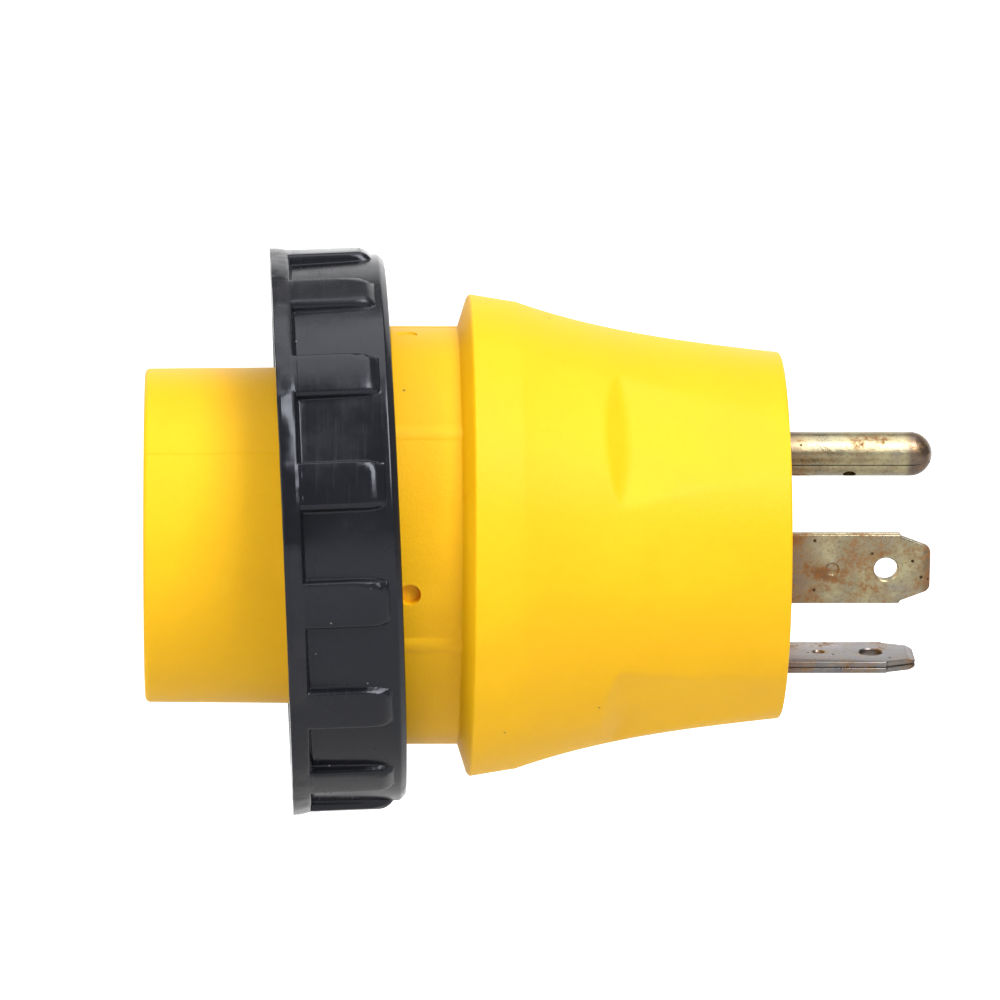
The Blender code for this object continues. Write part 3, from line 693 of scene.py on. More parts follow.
def plated_steel(name, settings, tarnish=0.0, clean=0.0):
    """Plated steel with rust clouds, pits and a dark film. Tarnish greys it, clean takes rust off."""
    finish = Finish(name)
    plating = Vector(settings.colour).lerp(Vector((0.20, 0.19, 0.20)), tarnish)
    limit = 0.74 - 0.4 * settings.rust + clean
    broad = finish.noise(170.0, 4.0, 0.62, distortion=0.4)
    grain = finish.noise(1500.0, 4.0, 0.75)
    rust_field = finish.maths("ADD", broad, finish.times(grain, 0.55))
    rust = finish.band(rust_field, limit + 0.22, limit + 0.38)
    stain = finish.band(rust_field, limit + 0.08, limit + 0.30, 0.0, 0.55)
    pits = finish.specks(900.0, 0.14, 0.10)
    cloud = finish.noise(240.0, 4.0, 0.6)
    tint = finish.mix(
        finish.band(cloud, 0.35, 0.65),
        (plating.x * 0.74, plating.y * 0.76, plating.z * 0.86),
        (plating.x * 1.12, plating.y * 1.15, plating.z * 1.15),
    )
    film = finish.noise(120.0, 3.0, 0.6, distortion=1.2)
    film = finish.band(film, 0.52, 0.66, 0.0, 0.25 + 0.3 * tarnish)
    tint = finish.mix(film, tint, (0.24, 0.20, 0.26))
    dirt = finish.noise(2600.0, 3.0, 0.7)
    tint = finish.mix(finish.band(dirt, 0.50, 0.68, 0.0, 0.55), tint, (0.17, 0.115, 0.055))
    x = finish.axis("X")
    near_body = finish.band(x, 0.0005, 0.0060, 0.8, 0.0)
    tint = finish.mix(near_body, tint, (0.19, 0.115, 0.085))
    tip = finish.band(x, BLADE_LENGTH - 0.0016, BLADE_LENGTH - 0.0002, 0.0, 0.8)
    tint = finish.mix(tip, tint, (0.12, 0.08, 0.08))
    tint = finish.mix(stain, tint, (0.30, 0.19, 0.08))
    coarse = finish.band(grain, 0.35, 0.65)
    rust_tint = finish.mix(coarse, tuple(settings.rust_colour), (0.25, 0.10, 0.02))
    tint = finish.mix(finish.times(rust, 0.9), tint, rust_tint)
    tint = finish.mix(finish.times(pits, 0.9), tint, (0.05, 0.025, 0.015))
    metal = finish.band(rust, 0.0, 1.0, 1.0, 0.25)
    rough = finish.blend(rust, finish.band(cloud, 0.3, 0.7, 0.24, 0.38), 0.75)
    rough = finish.blend(pits, rough, 0.8)
    lines = finish.noise(1400.0, 2.0, 0.5, finish.stretched((0.05, 1.0, 1.0)))
    normal = finish.bump(lines, 0.00005, 0.45)
    pitted = finish.maths("ADD", grain, finish.times(pits, -1.5))
    normal = finish.bump(pitted, 0.00010, 0.40, normal)
    return finish.set(Base_Color=tint, Metallic=metal, Roughness=rough, Normal=normal)


def moulded_plastic(name, colour, roughness, grain=1200.0):
    finish = Finish(name)
    colour = Vector(colour)
    cloud = finish.noise(180.0, 3.0, 0.5)
    tint = finish.mix(finish.band(cloud, 0.35, 0.65), tuple(colour * 0.85), tuple(colour * 1.15))
    rough = finish.band(cloud, 0.3, 0.7, roughness - 0.06, roughness + 0.08)
    normal = finish.bump(finish.noise(grain, 2.0, 0.6), 0.0001, 0.25)
    return finish.set(Base_Color=tint, Roughness=rough, Normal=normal)


def worked_metal(name, colour, roughness, stretch):
    """Drawn, stamped or tinned metal, with fine lines across its stretch."""
    finish = Finish(name)
    colour = Vector(colour)
    cloud = finish.noise(260.0, 3.0, 0.6)
    tint = finish.mix(finish.band(cloud, 0.35, 0.68), tuple(colour * 0.78), tuple(colour * 1.06))
    lines = finish.noise(1800.0, 2.0, 0.5, finish.stretched(stretch))
    rough = finish.band(lines, 0.3, 0.7, roughness - 0.08, roughness + 0.10)
    normal = finish.bump(lines, 0.00005, 0.3)
    return finish.set(Base_Color=tint, Metallic=1.0, Roughness=rough, Normal=normal)


def soft_least(a, b, softness):
    """The smaller of two lengths, with the change from one to the other rounded off."""
    overlap = max(softness - abs(a - b), 0.0) / softness
    return min(a, b) - overlap**2 * softness / 4


def press_recesses(bm, softness):
    """Presses the grip in to the flat floors of the finger recesses, and slopes their end walls."""
    slope = (RECESS_DEEP_DISTANCE - RECESS_FACE_DISTANCE) / RECESS_DEEP_X
    for i in range(RECESS_COUNT):
        outward = roll_direction(GROUND_ROLL + i * math.tau / RECESS_COUNT)
        for vert in bm.verts:
            radius = vert.co.yz.length
            distance = vert.co.dot(outward)
            if vert.co.x < RECESS_WALL_X or distance < GRIP_INSIDE:
                continue
            floor = RECESS_FACE_DISTANCE + slope * vert.co.x
            cut = distance - soft_least(distance, floor, softness)
            wall = RECESS_WALL_SLOPE * (vert.co.x - RECESS_WALL_X) - (radius - distance) / 2
            vert.co -= outward * max(0.0, soft_least(cut, wall, RECESS_CREASE))


class ADAPTER_OT_body_shell(bpy.types.Operator):
    """Yellow overmould with its grip, finger recesses, collar ribs and tool holes"""

    bl_idname = "adapter.body_shell"
    bl_label = "Body Shell"

    def execute(self, context):
        settings = context.scene.adapter_shell
        # The face's rounding takes the place of the grip's first row
        corners = [(0.0, 0.0, 0.0), (0.0, FACE_RADIUS, EDGE_ROUNDING)]
        for i in range(2, GRIP_ROWS + 1):
            x = GRIP_END * (i / GRIP_ROWS)
            corners.append((x, FACE_RADIUS - GRIP_SLOPE * x - GRIP_FLARE * x**3, 0.0))
        corners += [
            (*LAND_FRONT, 0.0),
            (*LAND_REAR, LAND_ROUNDING),
            (*LAND_FOOT, 0.0),
            (COLLAR_FRONT, COLLAR_RADIUS, EDGE_ROUNDING),
            (COLLAR_REAR, COLLAR_RADIUS, COLLAR_ROUNDING),
            (COLLAR_REAR, CAVITY_RADIUS, SMALL_ROUNDING),
            (-FACE_THICKNESS, CAVITY_RADIUS, 0.0),
            (-FACE_THICKNESS, 0.0, 0.0),
        ]
        bm = turned(rounded(corners), SHELL_STEPS, closed=False)
        press_recesses(bm, settings.recess_softness)
        obj = new_object("yellow_shell", bm)
        ribs = []
        radius = settings.rib_radius
        centre = (RIB_FRONT + RIB_REAR) / 2, 0.0, COLLAR_RADIUS + settings.rib_height - radius
        for i in range(RIB_COUNT):
            place = turn_to(GROUND_ROLL + (i + 0.5) * math.tau / RIB_COUNT)
            place @= Matrix.Translation(centre) @ ALONG_X
            ribs.append(cone(radius, radius, RIB_FRONT - RIB_REAR, 96, place))
        combine(obj, ribs, "UNION")
        cuts = list(pin_ways(PIN_GAP, -FACE_THICKNESS - OVERRUN, OVERRUN))
        for i in range(TOOL_HOLE_COUNT):
            depth = TOOL_HOLE_DEPTH if i else FLASHED_HOLE_DEPTH
            place = turn_to(GROUND_ROLL + (i + 0.5) * math.tau / TOOL_HOLE_COUNT)
            place @= Matrix.Translation((TOOL_HOLE_X, 0.0, COLLAR_RADIUS))
            cuts.append(cone(TOOL_HOLE_RADIUS * 0.9, TOOL_HOLE_RADIUS * 1.1, 2 * depth, 40, place))
        combine(obj, cuts)
        material = yellow_plastic("yellow_body_plastic", settings)
        finish_piece(obj, "adapter", ["body_shell"], material)
        return {"FINISHED"}


def pin_spots():
    towards_ground = roll_direction(GROUND_ROLL)
    sideways = roll_direction(GROUND_ROLL + math.pi / 2)
    return {
        "line": sideways * BLADE_SPREAD - towards_ground * BLADE_DROP,
        "neutral": -sideways * BLADE_SPREAD - towards_ground * BLADE_DROP,
        "ground": towards_ground * GROUND_PIN_OFFSET,
    }


def blade_place(pole):
    """Places a blade built flat along X, with its width along Z."""
    tilt = BLADE_TILT if pole == "line" else -BLADE_TILT
    return Matrix.Translation(pin_spots()[pole]) @ turn_to(GROUND_ROLL + tilt)


def pin_ways(gap, rear, front):
    """What the three pins clear on their way through the plug face."""
    for pole in ("line", "neutral"):
        half_thickness = BLADE_THICKNESS / 2 + gap
        half_width = BLADE_WIDTH / 2 + gap
        low = (rear, -half_thickness, -half_width)
        yield cuboid(low, (front, half_thickness, half_width), blade_place(pole))
    middle = pin_spots()["ground"] + Vector(((rear + front) / 2, 0.0, 0.0))
    radius = GROUND_PIN_RADIUS + gap
    yield cone(radius, radius, front - rear, 64, Matrix.Translation(middle) @ ALONG_X)


class ADAPTER_OT_socket_housing(bpy.types.Operator):
    """Yellow nose of the connector, with the flange and the neck that hold the ring"""

    bl_idname = "adapter.socket_housing"
    bl_label = "Socket Housing"

    def execute(self, context):
        settings = context.scene.adapter_shell
        corners = [
            (SPIGOT_END, SPIGOT_BORE_RADIUS, 0.0),
            (SPIGOT_END, SPIGOT_RADIUS, 0.0),
            (NECK_END, SPIGOT_RADIUS, 0.0),
            (NECK_END, NECK_RADIUS, 0.0),
            (FLANGE_REAR, NECK_RADIUS, FINE_ROUNDING),
            (FLANGE_REAR, FLANGE_RADIUS, EDGE_ROUNDING),
            (FLANGE_FRONT, FLANGE_RADIUS, EDGE_ROUNDING),
            (FLANGE_FRONT, NOSE_ROOT_RADIUS, EDGE_ROUNDING),
            (NOSE_TIP, NOSE_TIP_RADIUS, NOSE_ROUNDING),
            (NOSE_TIP, NOSE_BORE_RADIUS, EDGE_ROUNDING),
            (NOSE_BORE_END, NOSE_BORE_RADIUS, 0.0),
            (NOSE_BORE_END, SPIGOT_BORE_RADIUS, 0.0),
        ]
        bm = turned(rounded(corners, 5), HOUSING_STEPS)
        near = math.tau / HOUSING_STEPS / 2
        for vert in bm.verts:
            on_nose = vert.co.x < FLANGE_FRONT and vert.co.yz.length > NOSE_OUTSIDE
            roll = math.atan2(vert.co.z, vert.co.y)
            if on_nose and abs(math.remainder(roll - PARTING_ROLL, math.pi)) < near:
                vert.co += roll_direction(roll) * settings.parting_height
        obj = new_object("yellow_nose", bm)
        material = yellow_plastic("yellow_nose_plastic", settings)
        finish_piece(obj, "adapter", ["socket_housing"], material)
        return {"FINISHED"}


class ADAPTER_OT_socket_insert(bpy.types.Operator):
    """Black disc in the nose with the three curved slots of the connector"""

    bl_idname = "adapter.socket_insert"
    bl_label = "Socket Insert"

    def execute(self, context):
        corners = [
            (INSERT_REAR, 0.0, 0.0),
            (INSERT_REAR, INSERT_RADIUS, SMALL_ROUNDING),
            (INSERT_FRONT, INSERT_RADIUS, EDGE_ROUNDING),
            (INSERT_FRONT, DISH_RADIUS, 0.0),
            (INSERT_FRONT + DISH_DEPTH, DISH_FLOOR_RADIUS, 0.0),
            (INSERT_FRONT + DISH_DEPTH, 0.0, 0.0),
        ]
        obj = new_object("slotted_insert", turned(rounded(corners), 128, closed=False))
        inner = SLOT_PITCH_RADIUS - SLOT_WIDTH / 2
        outer = SLOT_PITCH_RADIUS + SLOT_WIDTH / 2
        section = [
            (INSERT_FRONT - OVERRUN, inner - SLOT_LEAD - OVERRUN),
            (INSERT_FRONT + SLOT_LEAD, inner),
            (INSERT_REAR + OVERRUN, inner),
            (INSERT_REAR + OVERRUN, outer),
            (INSERT_FRONT + SLOT_LEAD, outer),
            (INSERT_FRONT - OVERRUN, outer + SLOT_LEAD + OVERRUN),
        ]
        slots = []
        pockets = []
        for roll in CONTACT_ROLLS.values():
            slot = swept_section(section, SLOT_ARC, 16)
            start = Matrix.Rotation(roll - SLOT_ARC / 2, 4, "X")
            bmesh.ops.transform(slot, matrix=start, verts=slot.verts)
            slots.append(slot)
            pocket = cuboid(
                (POCKET_FRONT, -POCKET_HALF_LENGTH, SLOT_PITCH_RADIUS - POCKET_HALF_HEIGHT),
                (POCKET_REAR, POCKET_HALF_LENGTH, SLOT_PITCH_RADIUS + POCKET_HALF_HEIGHT),
                turn_to(roll),
            )
            pockets.append(pocket)
        combine(obj, slots)
        combine(obj, pockets)
        hook_end = inner * math.sin(SLOT_ARC / 2)
        hook = cuboid(
            (INSERT_FRONT - OVERRUN, hook_end - SLOT_WIDTH, inner - HOOK_LENGTH),
            (INSERT_FRONT + HOOK_DEPTH, hook_end, SLOT_PITCH_RADIUS),
            turn_to(GROUND_ROLL),
        )
        combine(obj, [hook])
        material = moulded_plastic("black_insert_plastic", (0.03, 0.03, 0.033), 0.46)
        finish_piece(obj, "adapter", ["socket_insert"], material)
        return {"FINISHED"}


def edge_steps(rounding, fillet):
    """Distances outside a grip's edge, from the flat over its rounding to the end of its fillet."""
    arc = [rounding * (math.cos(math.radians(d)) - 1.0) for d in range(90, -1, -15)]
    return arc + [fillet * share for share in (0.1, 0.3, 0.6, 1.0)]


def step_up(away, rounding, fillet, height, slope=0.0):
    """Height this far outside an edge, which is rounded above and filleted below."""
    if away >= fillet:
        return 0.0
    if away > 0.0:
        return (1.0 - slope) * fillet * (1.0 - math.sqrt(1.0 - (1.0 - away / fillet) ** 2))
    fillet *= 1.0 - slope
    out = 1.0 - min(1.0, -away / rounding)
    steep = math.sqrt(1.0 - out**2)
    gentle = 1.0 - 0.8 * out**2 - 0.2 * out**4
    return fillet + (height - fillet) * (steep + (gentle - steep) * slope)


def between(low, high, count):
    return [low + (high - low) * i / (count + 1) for i in range(1, count + 1)]


def ring_outline():
    half = RING_HALF_LENGTH
    pad_end = [PAD_END + d for d in edge_steps(PAD_END - PAD_TOP_END, PAD_END_FILLET)]
    lip_edge = [LIP_REAR + d for d in edge_steps(LIP_ROUNDING, GRIP_FILLET)]
    rows = [*LIP_ROWS, *lip_edge, *between(lip_edge[-1], pad_end[0], 9), *pad_end]
    return rounded(
        [
            (half, SKIRT_BORE_RADIUS, SMALL_ROUNDING),
            (half, RIM_RADIUS, RIM_ROUNDING),
            (BAND_END, BAND_RADIUS, RIM_ROUNDING),
            *((x, BAND_RADIUS, 0.0) for x in reversed(rows)),
            (-half, BAND_RADIUS, LIP_END_ROUNDING),
            (-half, THREAD_RADIUS, MOUTH_ROUNDING),
            (WEB_FRONT, THREAD_RADIUS, SMALL_ROUNDING),
            (WEB_FRONT, WEB_BORE_RADIUS, SMALL_ROUNDING),
            (WEB_REAR, WEB_BORE_RADIUS, SMALL_ROUNDING),
            (WEB_REAR, SKIRT_BORE_RADIUS, SMALL_ROUNDING),
        ],
    )


def grip_columns(upper, lower):
    """Degrees past a pad's start, over a pad and a pocket, crowded where the surface bends."""
    degrees = math.degrees(1.0 / PAD_RADIUS)
    first = sorted(-degrees * d for d in edge_steps(upper, GRIP_FILLET))
    last = [PAD_DEGREES + degrees * d for d in edge_steps(lower, GRIP_FILLET)]
    top = between(first[-1], last[0], 7)
    return first + top + last + between(last[-1], first[0] + 360 / PAD_COUNT, 12)


def grip_radius(x, past, upper, lower):
    """Radius of the ring's outside at x, this many degrees past a pad's start."""
    along = min(1.0, max(0.0, (x - LIP_REAR) / (PAD_END - LIP_REAR)))
    floor = POCKET_RADIUS + (BAND_RADIUS - POCKET_RADIUS) * along
    side = math.remainder(past - PAD_DEGREES / 2, 360 / PAD_COUNT)
    rounding = lower if side > 0.0 else upper
    across = math.radians(abs(side) - PAD_DEGREES / 2) * PAD_RADIUS + PAD_CORNER
    end = (x - PAD_END) * rounding / (PAD_END - PAD_TOP_END) + PAD_CORNER
    away = math.hypot(max(0.0, across), max(0.0, end)) + min(0.0, max(across, end)) - PAD_CORNER
    at_end = min(1.0, max(0.0, 0.5 + (end - across) / (2 * PAD_CORNER)))
    over = min(1.0, max(0.0, (LIP_REAR - x) / (LIP_REAR + RING_HALF_LENGTH)))
    lip = LIP_RADIUS + LIP_FLARE * (1.0 - (1.0 - over) ** 2)
    return floor + max(
        step_up(away, rounding, GRIP_FILLET, PAD_RADIUS - floor, at_end),
        step_up(x - LIP_REAR, LIP_ROUNDING, GRIP_FILLET, lip - floor),
    )


def raise_grips(bm, columns, upper, lower):
    """Moves a plain ring's columns to the pads' edges, and raises the pads and the lip."""
    steps = PAD_COUNT * len(columns)
    for vert in bm.verts:
        index = round(math.atan2(vert.co.z, vert.co.y) / math.tau * steps) % steps
        pad, column = divmod(index, len(columns))
        past = columns[column]
        roll = math.radians(FIRST_PAD_DEGREE + pad * 360 / PAD_COUNT + past)
        radius = vert.co.yz.length
        if radius > OUTSIDE_RADIUS and vert.co.x < GRIPS_END:
            radius += grip_radius(vert.co.x, past, upper, lower) - BAND_RADIUS
        vert.co = Vector((vert.co.x, radius * math.cos(roll), radius * math.sin(roll)))


def wear_lip(bm, amount):
    """Wears the lip's outer corner off along some arcs, and makes its surface uneven."""
    for vert in bm.verts:
        if vert.co.x > WEAR_END or vert.co.yz.length < WEAR_RADIUS:
            continue
        degree = math.degrees(math.atan2(vert.co.z, vert.co.y))
        wear = 0.0
        for middle, half, depth in WORN_ARCS:
            off = abs(math.remainder(degree - middle, 360)) / half
            wear = max(wear, depth * max(0.0, 1.0 - off**2))
        to_corner = max(0.0, (LIP_ROWS[0] - vert.co.x) / (LIP_ROWS[0] + RING_HALF_LENGTH))
        wobble = noise.noise(vert.co * 330.0) + 0.6 * noise.noise(vert.co * 900.0)
        ragged = 1.0 + 0.7 * noise.noise(vert.co * 520.0 + Vector((7.0, 3.0, 1.0)))
        outward = Vector((0.0, *vert.co.yz.normalized()))
        vert.co += outward * (amount * (wobble - 0.6) - wear * ragged * to_corner)
        vert.co.x += 0.6 * amount * noise.noise(vert.co * 340.0 + Vector((2.0, 9.0, 4.0)))


class ADAPTER_OT_locking_ring(bpy.types.Operator):
    """Glossy black threaded ring with its lip, grip pads and thread"""

    bl_idname = "adapter.locking_ring"
    bl_label = "Locking Ring"

    def execute(self, context):
        settings = context.scene.adapter_ring
        lower = settings.pad_rounding
        upper = 0.55 * lower
        columns = grip_columns(upper, lower)
        bm = turned(ring_outline(), PAD_COUNT * len(columns))
        raise_grips(bm, columns, upper, lower)
        wear_lip(bm, settings.lip_wear)
        obj = new_object("grip_ring", bm)
        root = THREAD_RADIUS + THREAD_DEPTH
        section = [
            (THREAD_START - THREAD_ROOT_HALF, root),
            (THREAD_START - THREAD_CREST_HALF, THREAD_CREST_RADIUS),
            (THREAD_START + THREAD_CREST_HALF, THREAD_CREST_RADIUS),
            (THREAD_START + THREAD_ROOT_HALF, root),
        ]
        rise = THREAD_PITCH * THREAD_TURNS
        thread = swept_section(section, math.tau * THREAD_TURNS, THREAD_STEPS, rise)
        combine(obj, [thread], "UNION")
        obj.data.transform(ring_place())
        material = ring_plastic("ring_gloss_plastic", settings)
        finish_piece(obj, "ring", ["locking_ring"], material)
        return {"FINISHED"}


class ADAPTER_OT_sealing_gasket(bpy.types.Operator):
    """Rubber washer between the ring's web and the inlet"""

    bl_idname = "adapter.sealing_gasket"
    bl_label = "Sealing Gasket"

    def execute(self, context):
        corners = [
            (GASKET_REAR, GASKET_INNER_RADIUS, SMALL_ROUNDING),
            (GASKET_REAR, GASKET_OUTER_RADIUS, SMALL_ROUNDING),
            (GASKET_FRONT, GASKET_OUTER_RADIUS, SMALL_ROUNDING),
            (GASKET_FRONT, GASKET_INNER_RADIUS, SMALL_ROUNDING),
        ]
        obj = new_object("rubber_washer", turned(rounded(corners), 192))
        obj.data.transform(ring_place())
        material = moulded_plastic("washer_rubber", (0.022, 0.021, 0.020), 0.78, 900.0)
        finish_piece(obj, "gasket", ["sealing_gasket"], material)
        return {"FINISHED"}


def blade_outline(shrink, tip_shrink):
    """Half the outline of a blade, made whole by its mirror image."""
    half = BLADE_WIDTH / 2 - shrink
    tip = BLADE_TIP_WIDTH / 2 - shrink
    end = BLADE_LENGTH - tip_shrink
    upper = [
        (TAIL_END, TAIL_WIDTH / 2 - shrink),
        (TAIL_START, TAIL_WIDTH / 2 - shrink),
        (TAIL_START, half),
        (BLADE_TAPER_START, half),
        (BLADE_TAPER_START + 0.0003, half - 0.0004),
        (end, tip),
    ]
    return upper + [(x, -z) for x, z in reversed(upper)]


def round_off(bm, edges, size, segments):
    bmesh.ops.bevel(
        bm,
        geom=edges,
        offset=size,
        segments=segments,
        profile=0.5,
        affect="EDGES",
        material=-1,
    )


def blade_layer(low, high):
    bm = thick_face(blade_outline(0.0, 0.0), low, high)
    upright = [e for e in bm.edges if abs(e.verts[0].co.y - e.verts[1].co.y) > 1e-6]
    tips = [e for e in upright if e.verts[0].co.x > BLADE_LENGTH - 0.0001]
    round_off(bm, tips, BLADE_TIP_ROUNDING, 4)
    rim = [e for e in bm.edges if e.calc_face_angle(0.0) > math.radians(50)]
    round_off(bm, rim, BLADE_ROUNDING, 3)
    return bm


class ADAPTER_OT_blades(bpy.types.Operator):
    """The two flat plated blades, each a strip folded on itself"""

    bl_idname = "adapter.blades"
    bl_label = "Blades"

    def execute(self, context):
        settings = context.scene.adapter_pins
        half = BLADE_THICKNESS / 2
        slit = settings.slit / 2
        for pole, tarnish, clean in (("line", 0.0, -0.035), ("neutral", 0.9, 0.03)):
            material = plated_steel(f"plated_blade_{pole}_steel", settings, tarnish, clean)
            obj = new_object(f"plated_blade_{pole}", blade_layer(-half, -slit))
            combine(obj, [blade_layer(slit, half)], "UNION")
            core_half = slit + BLADE_CORE_DEPTH
            core = thick_face(blade_outline(BLADE_CORE_DEPTH, 0.0002), -core_half, core_half)
            combine(obj, [core], "UNION")
            end = half + BLADE_HOLE_OVERRUN
            wide = BLADE_HOLE_RADIUS + BLADE_HOLE_FLARE + BLADE_HOLE_OVERRUN
            outline = [
                (-end, 0.0),
                (-end, wide),
                (-half + BLADE_HOLE_FLARE, BLADE_HOLE_RADIUS),
                (half - BLADE_HOLE_FLARE, BLADE_HOLE_RADIUS),
                (end, wide),
                (end, 0.0),
            ]
            hole = turned(outline, 48, closed=False)
            across = Matrix.Translation((BLADE_HOLE_X, 0.0, 0.0))
            across @= Matrix.Rotation(math.pi / 2, 4, "Z")
            bmesh.ops.transform(hole, matrix=across, verts=hole.verts)
            pressed = Matrix.Translation((DIMPLE_X, -half, 0.0))
            pressed @= Matrix.Rotation(-math.pi / 2, 4, "X")
            dimple = cone(
                DIMPLE_RADIUS + DIMPLE_DEPTH,
                DIMPLE_RADIUS - DIMPLE_DEPTH,
                2 * DIMPLE_DEPTH,
                48,
                pressed,
            )
            tips = []
            for side in (-1.0, 1.0):
                place = Matrix.Translation((BLADE_LENGTH - TIP_BEVEL, side * half, 0.0))
                place @= Matrix.Rotation(-side * TIP_BEVEL_ANGLE, 4, "Z")
                near, far = sorted((0.0, side * BLADE_THICKNESS))
                tips.append(cuboid((-0.0002, near, -half * 5), (0.004, far, half * 5), place))
            combine(obj, [hole, dimple, *tips])
            obj.data.transform(blade_place(pole))
            finish_piece(obj, "adapter", [f"blade_{pole}"], material)
        return {"FINISHED"}


class ADAPTER_OT_ground_pin(bpy.types.Operator):
    """Round plated pin with a domed end, a rolled seam and a small locating hole"""

    bl_idname = "adapter.ground_pin"
    bl_label = "Ground Pin"

    def execute(self, context):
        settings = context.scene.adapter_pins
        radius = GROUND_PIN_RADIUS
        length = GROUND_PIN_LENGTH
        dome = [math.radians(a) for a in range(90, -1, -9)]
        outline = [
            (length - radius * (1 - math.sin(a)), 0.0 if a == dome[0] else radius * math.cos(a))
            for a in dome
        ]
        outline += [
            (TAIL_START, radius),
            (TAIL_START, TAIL_WIDTH / 2),
            (TAIL_END, TAIL_WIDTH / 2),
            (TAIL_END, 0.0),
        ]
        obj = new_object("round_ground_pin", turned(outline, 96, closed=False))
        low = (SEAM_START, -SEAM_HALF_WIDTH, radius - SEAM_DEPTH)
        seam = cuboid(low, (SEAM_END, SEAM_HALF_WIDTH, radius + 0.0004))
        for vert in seam.verts:
            if vert.co.z < radius:
                vert.co.y *= SEAM_PINCH
        bmesh.ops.transform(seam, matrix=turn_to(SEAM_ROLL), verts=seam.verts)
        place = turn_to(LOCATING_HOLE_ROLL) @ Matrix.Translation((LOCATING_HOLE_X, 0.0, radius))
        hole = cone(*LOCATING_HOLE_RADII, 2 * LOCATING_HOLE_DEPTH, 32, place)
        combine(obj, [seam, hole])
        obj.data.transform(Matrix.Translation(pin_spots()["ground"]))
        material = plated_steel("plated_pin_steel", settings, clean=0.05)
        finish_piece(obj, "adapter", ["ground_pin"], material)
        return {"FINISHED"}


class ADAPTER_OT_inner_parts(bpy.types.Operator):
    """Finishes of the contacts, wires, crimps and cores inside, which keep their own shapes"""

    bl_idname = "adapter.inner_parts"
    bl_label = "Inner Parts"

    def execute(self, context):
        core = moulded_plastic("grey_core_plastic", (0.32, 0.32, 0.33), 0.58)
        brass = worked_metal("stamped_brass", (0.72, 0.53, 0.24), 0.34, (0.08, 1.0, 1.0))
        copper = worked_metal("drawn_copper", (0.80, 0.38, 0.22), 0.30, (0.05, 1.0, 1.0))
        tinned = worked_metal("tinned_metal", (0.62, 0.62, 0.60), 0.34, (1.0, 0.1, 0.1))
        finishes = {
            "socket_cover": core,
            "inner_core": core,
            "blade_carrier": core,
            "wire_jacket_line": moulded_plastic("black_jacket_plastic", (0.02, 0.02, 0.02), 0.5),
            "wire_jacket_neutral": moulded_plastic("white_jacket_plastic", (0.8, 0.8, 0.78), 0.5),
            "wire_jacket_ground": moulded_plastic("green_jacket_plastic", (0.04, 0.32, 0.1), 0.5),
        }
        for pole in CONTACT_ROLLS:
            finishes[f"contact_{pole}"] = brass
            finishes[f"wire_core_{pole}"] = copper
            finishes[f"crimp_socket_{pole}"] = tinned
            finishes[f"crimp_plug_{pole}"] = tinned
        for node, material in finishes.items():
            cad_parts[node].material_slots[0].material = material
        return {"FINISHED"}


def area_light(name, size, power, place, aim):
    data = bpy.data.lights.new(name, "AREA")
    data.shape = "RECTANGLE"
    data.size, data.size_y = size
    data.energy = power
    lamp = bpy.data.objects.new(name, data)
    bpy.context.scene.collection.objects.link(lamp)
    lamp.location = place
    lamp.rotation_euler = (Vector(aim) - Vector(place)).to_track_quat("-Z", "Y").to_euler()


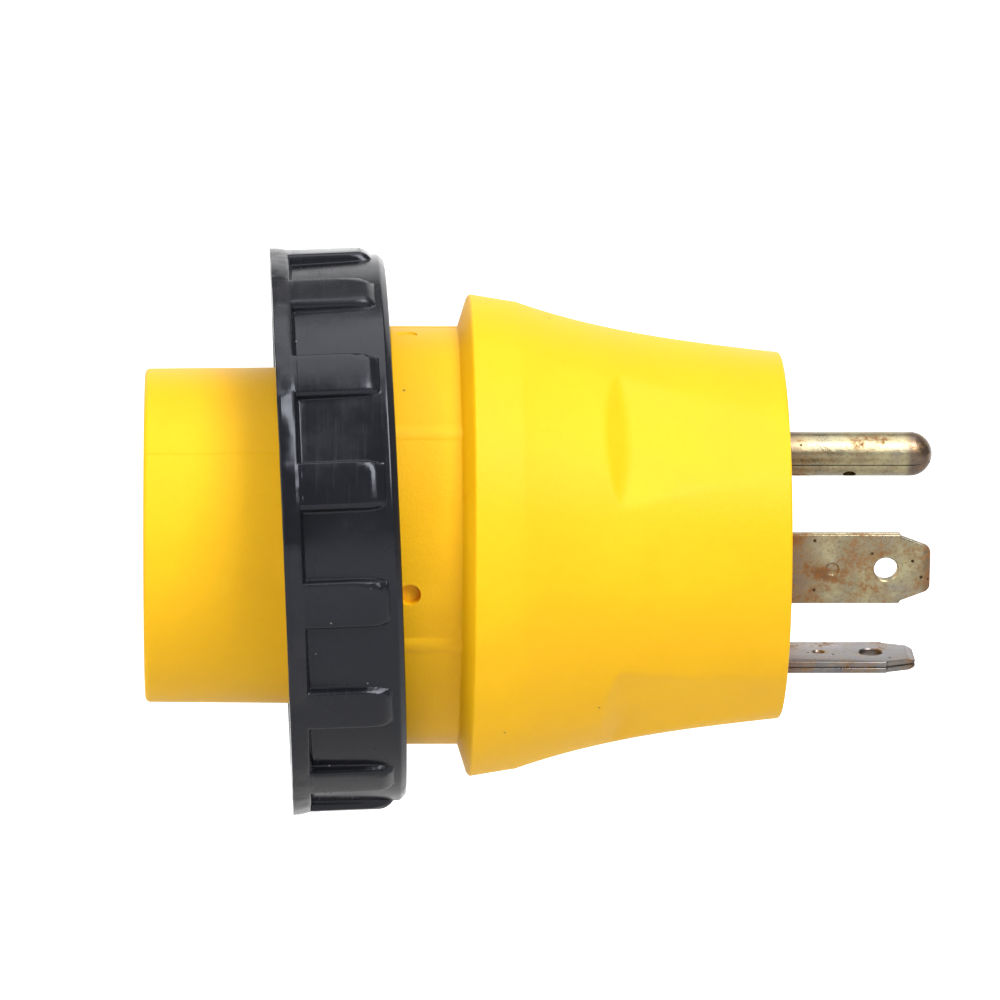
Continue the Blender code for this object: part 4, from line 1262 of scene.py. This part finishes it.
class ADAPTER_OT_studio(bpy.types.Operator):
    """Pale floor and backdrop, soft lights and the camera"""

    bl_idname = "adapter.studio"
    bl_label = "Studio"

    def execute(self, context):
        settings = context.scene.adapter_studio
        scene = context.scene
        middle = (CAD_BOX[0] + CAD_BOX[1]) / 2
        world = bpy.data.worlds.new("surround")
        world.use_nodes = True
        background = world.node_tree.nodes["Background"]
        background.inputs["Color"].default_value = (1.0, 1.0, 1.0, 1.0)
        background.inputs["Strength"].default_value = settings.surround
        scene.world = world

        radius = SWEEP_BEND_RADIUS
        bend = [
            (SWEEP_BEND + radius * math.sin(a), radius - radius * math.cos(a))
            for a in (math.radians(d) for d in range(10, 91, 10))
        ]
        line = [(SWEEP_FRONT, 0.0), (SWEEP_BEND, 0.0), *bend, (SWEEP_BEND + radius, SWEEP_TOP)]
        sweep = bmesh.new()
        verts = [sweep.verts.new((-SWEEP_REACH, y, z - settings.floor_drop)) for y, z in line]
        edges = [sweep.edges.new(pair) for pair in zip(verts, verts[1:])]
        grown = bmesh.ops.extrude_edge_only(sweep, edges=edges)
        moved = [item for item in grown["geom"] if isinstance(item, bmesh.types.BMVert)]
        bmesh.ops.translate(sweep, verts=moved, vec=(2 * SWEEP_REACH, 0.0, 0.0))
        floor = new_object("floor_sweep", sweep)
        floor.data.shade_smooth()
        finish = Finish("pale_paper")
        far = finish.band(finish.axis("Y"), 0.15, 0.7, 0.0, 1.0)
        finish.set(
            Base_Color=(0.62, 0.62, 0.62),
            Roughness=0.9,
            Emission_Color=(1.0, 1.0, 1.0),
            Emission_Strength=far,
        )
        floor.data.materials.append(finish.material)

        for side, (size, place) in SOFTBOXES.items():
            power = getattr(settings, f"{side}_power")
            area_light(f"{side}_softbox", size, power, place, middle)

        data = bpy.data.cameras.new("camera")
        data.lens = settings.lens
        data.sensor_width = SENSOR_WIDTH
        camera = bpy.data.objects.new("camera", data)
        scene.collection.objects.link(camera)
        camera.location = CAMERA_PLACE
        look = Vector((math.sin(CAMERA_TURN), math.cos(CAMERA_TURN), 0.0))
        camera.rotation_euler = look.to_track_quat("-Z", "Y").to_euler()
        scene.camera = camera
        scene.view_settings.view_transform = "Standard"
        return {"FINISHED"}


SETTINGS = {
    "adapter_shell": ShellSettings,
    "adapter_ring": RingSettings,
    "adapter_pins": PinSettings,
    "adapter_studio": StudioSettings,
}
OPERATORS = (
    ADAPTER_OT_body_shell,
    ADAPTER_OT_socket_housing,
    ADAPTER_OT_socket_insert,
    ADAPTER_OT_locking_ring,
    ADAPTER_OT_sealing_gasket,
    ADAPTER_OT_blades,
    ADAPTER_OT_ground_pin,
    ADAPTER_OT_inner_parts,
    ADAPTER_OT_studio,
)


class ADAPTER_PT_sidebar(bpy.types.Panel):
    """Lists the adapter's settings and the operators that make its pieces"""

    bl_idname = "ADAPTER_PT_sidebar"
    bl_label = "Trailer Plug Adapter"
    bl_space_type = "VIEW_3D"
    bl_region_type = "UI"
    bl_category = "Adapter"

    def draw(self, context):
        layout = self.layout
        for name, group in SETTINGS.items():
            box = layout.box()
            for prop in group.__annotations__:
                box.prop(getattr(context.scene, name), prop)
        for operator in OPERATORS:
            layout.operator(operator.bl_idname)


def register():
    for item in (*SETTINGS.values(), *OPERATORS, ADAPTER_PT_sidebar):
        bpy.utils.register_class(item)
    for name, group in SETTINGS.items():
        setattr(bpy.types.Scene, name, bpy.props.PointerProperty(type=group))


def unregister():
    for name in SETTINGS:
        delattr(bpy.types.Scene, name)
    for item in reversed((*SETTINGS.values(), *OPERATORS, ADAPTER_PT_sidebar)):
        bpy.utils.unregister_class(item)


def main():
    register()
    bpy.ops.adapter.body_shell()
    bpy.ops.adapter.socket_housing()
    bpy.ops.adapter.socket_insert()
    bpy.ops.adapter.locking_ring()
    bpy.ops.adapter.sealing_gasket()
    bpy.ops.adapter.blades()
    bpy.ops.adapter.ground_pin()
    bpy.ops.adapter.inner_parts()
    bpy.ops.adapter.studio()


if __name__ == "__main__":
    main()
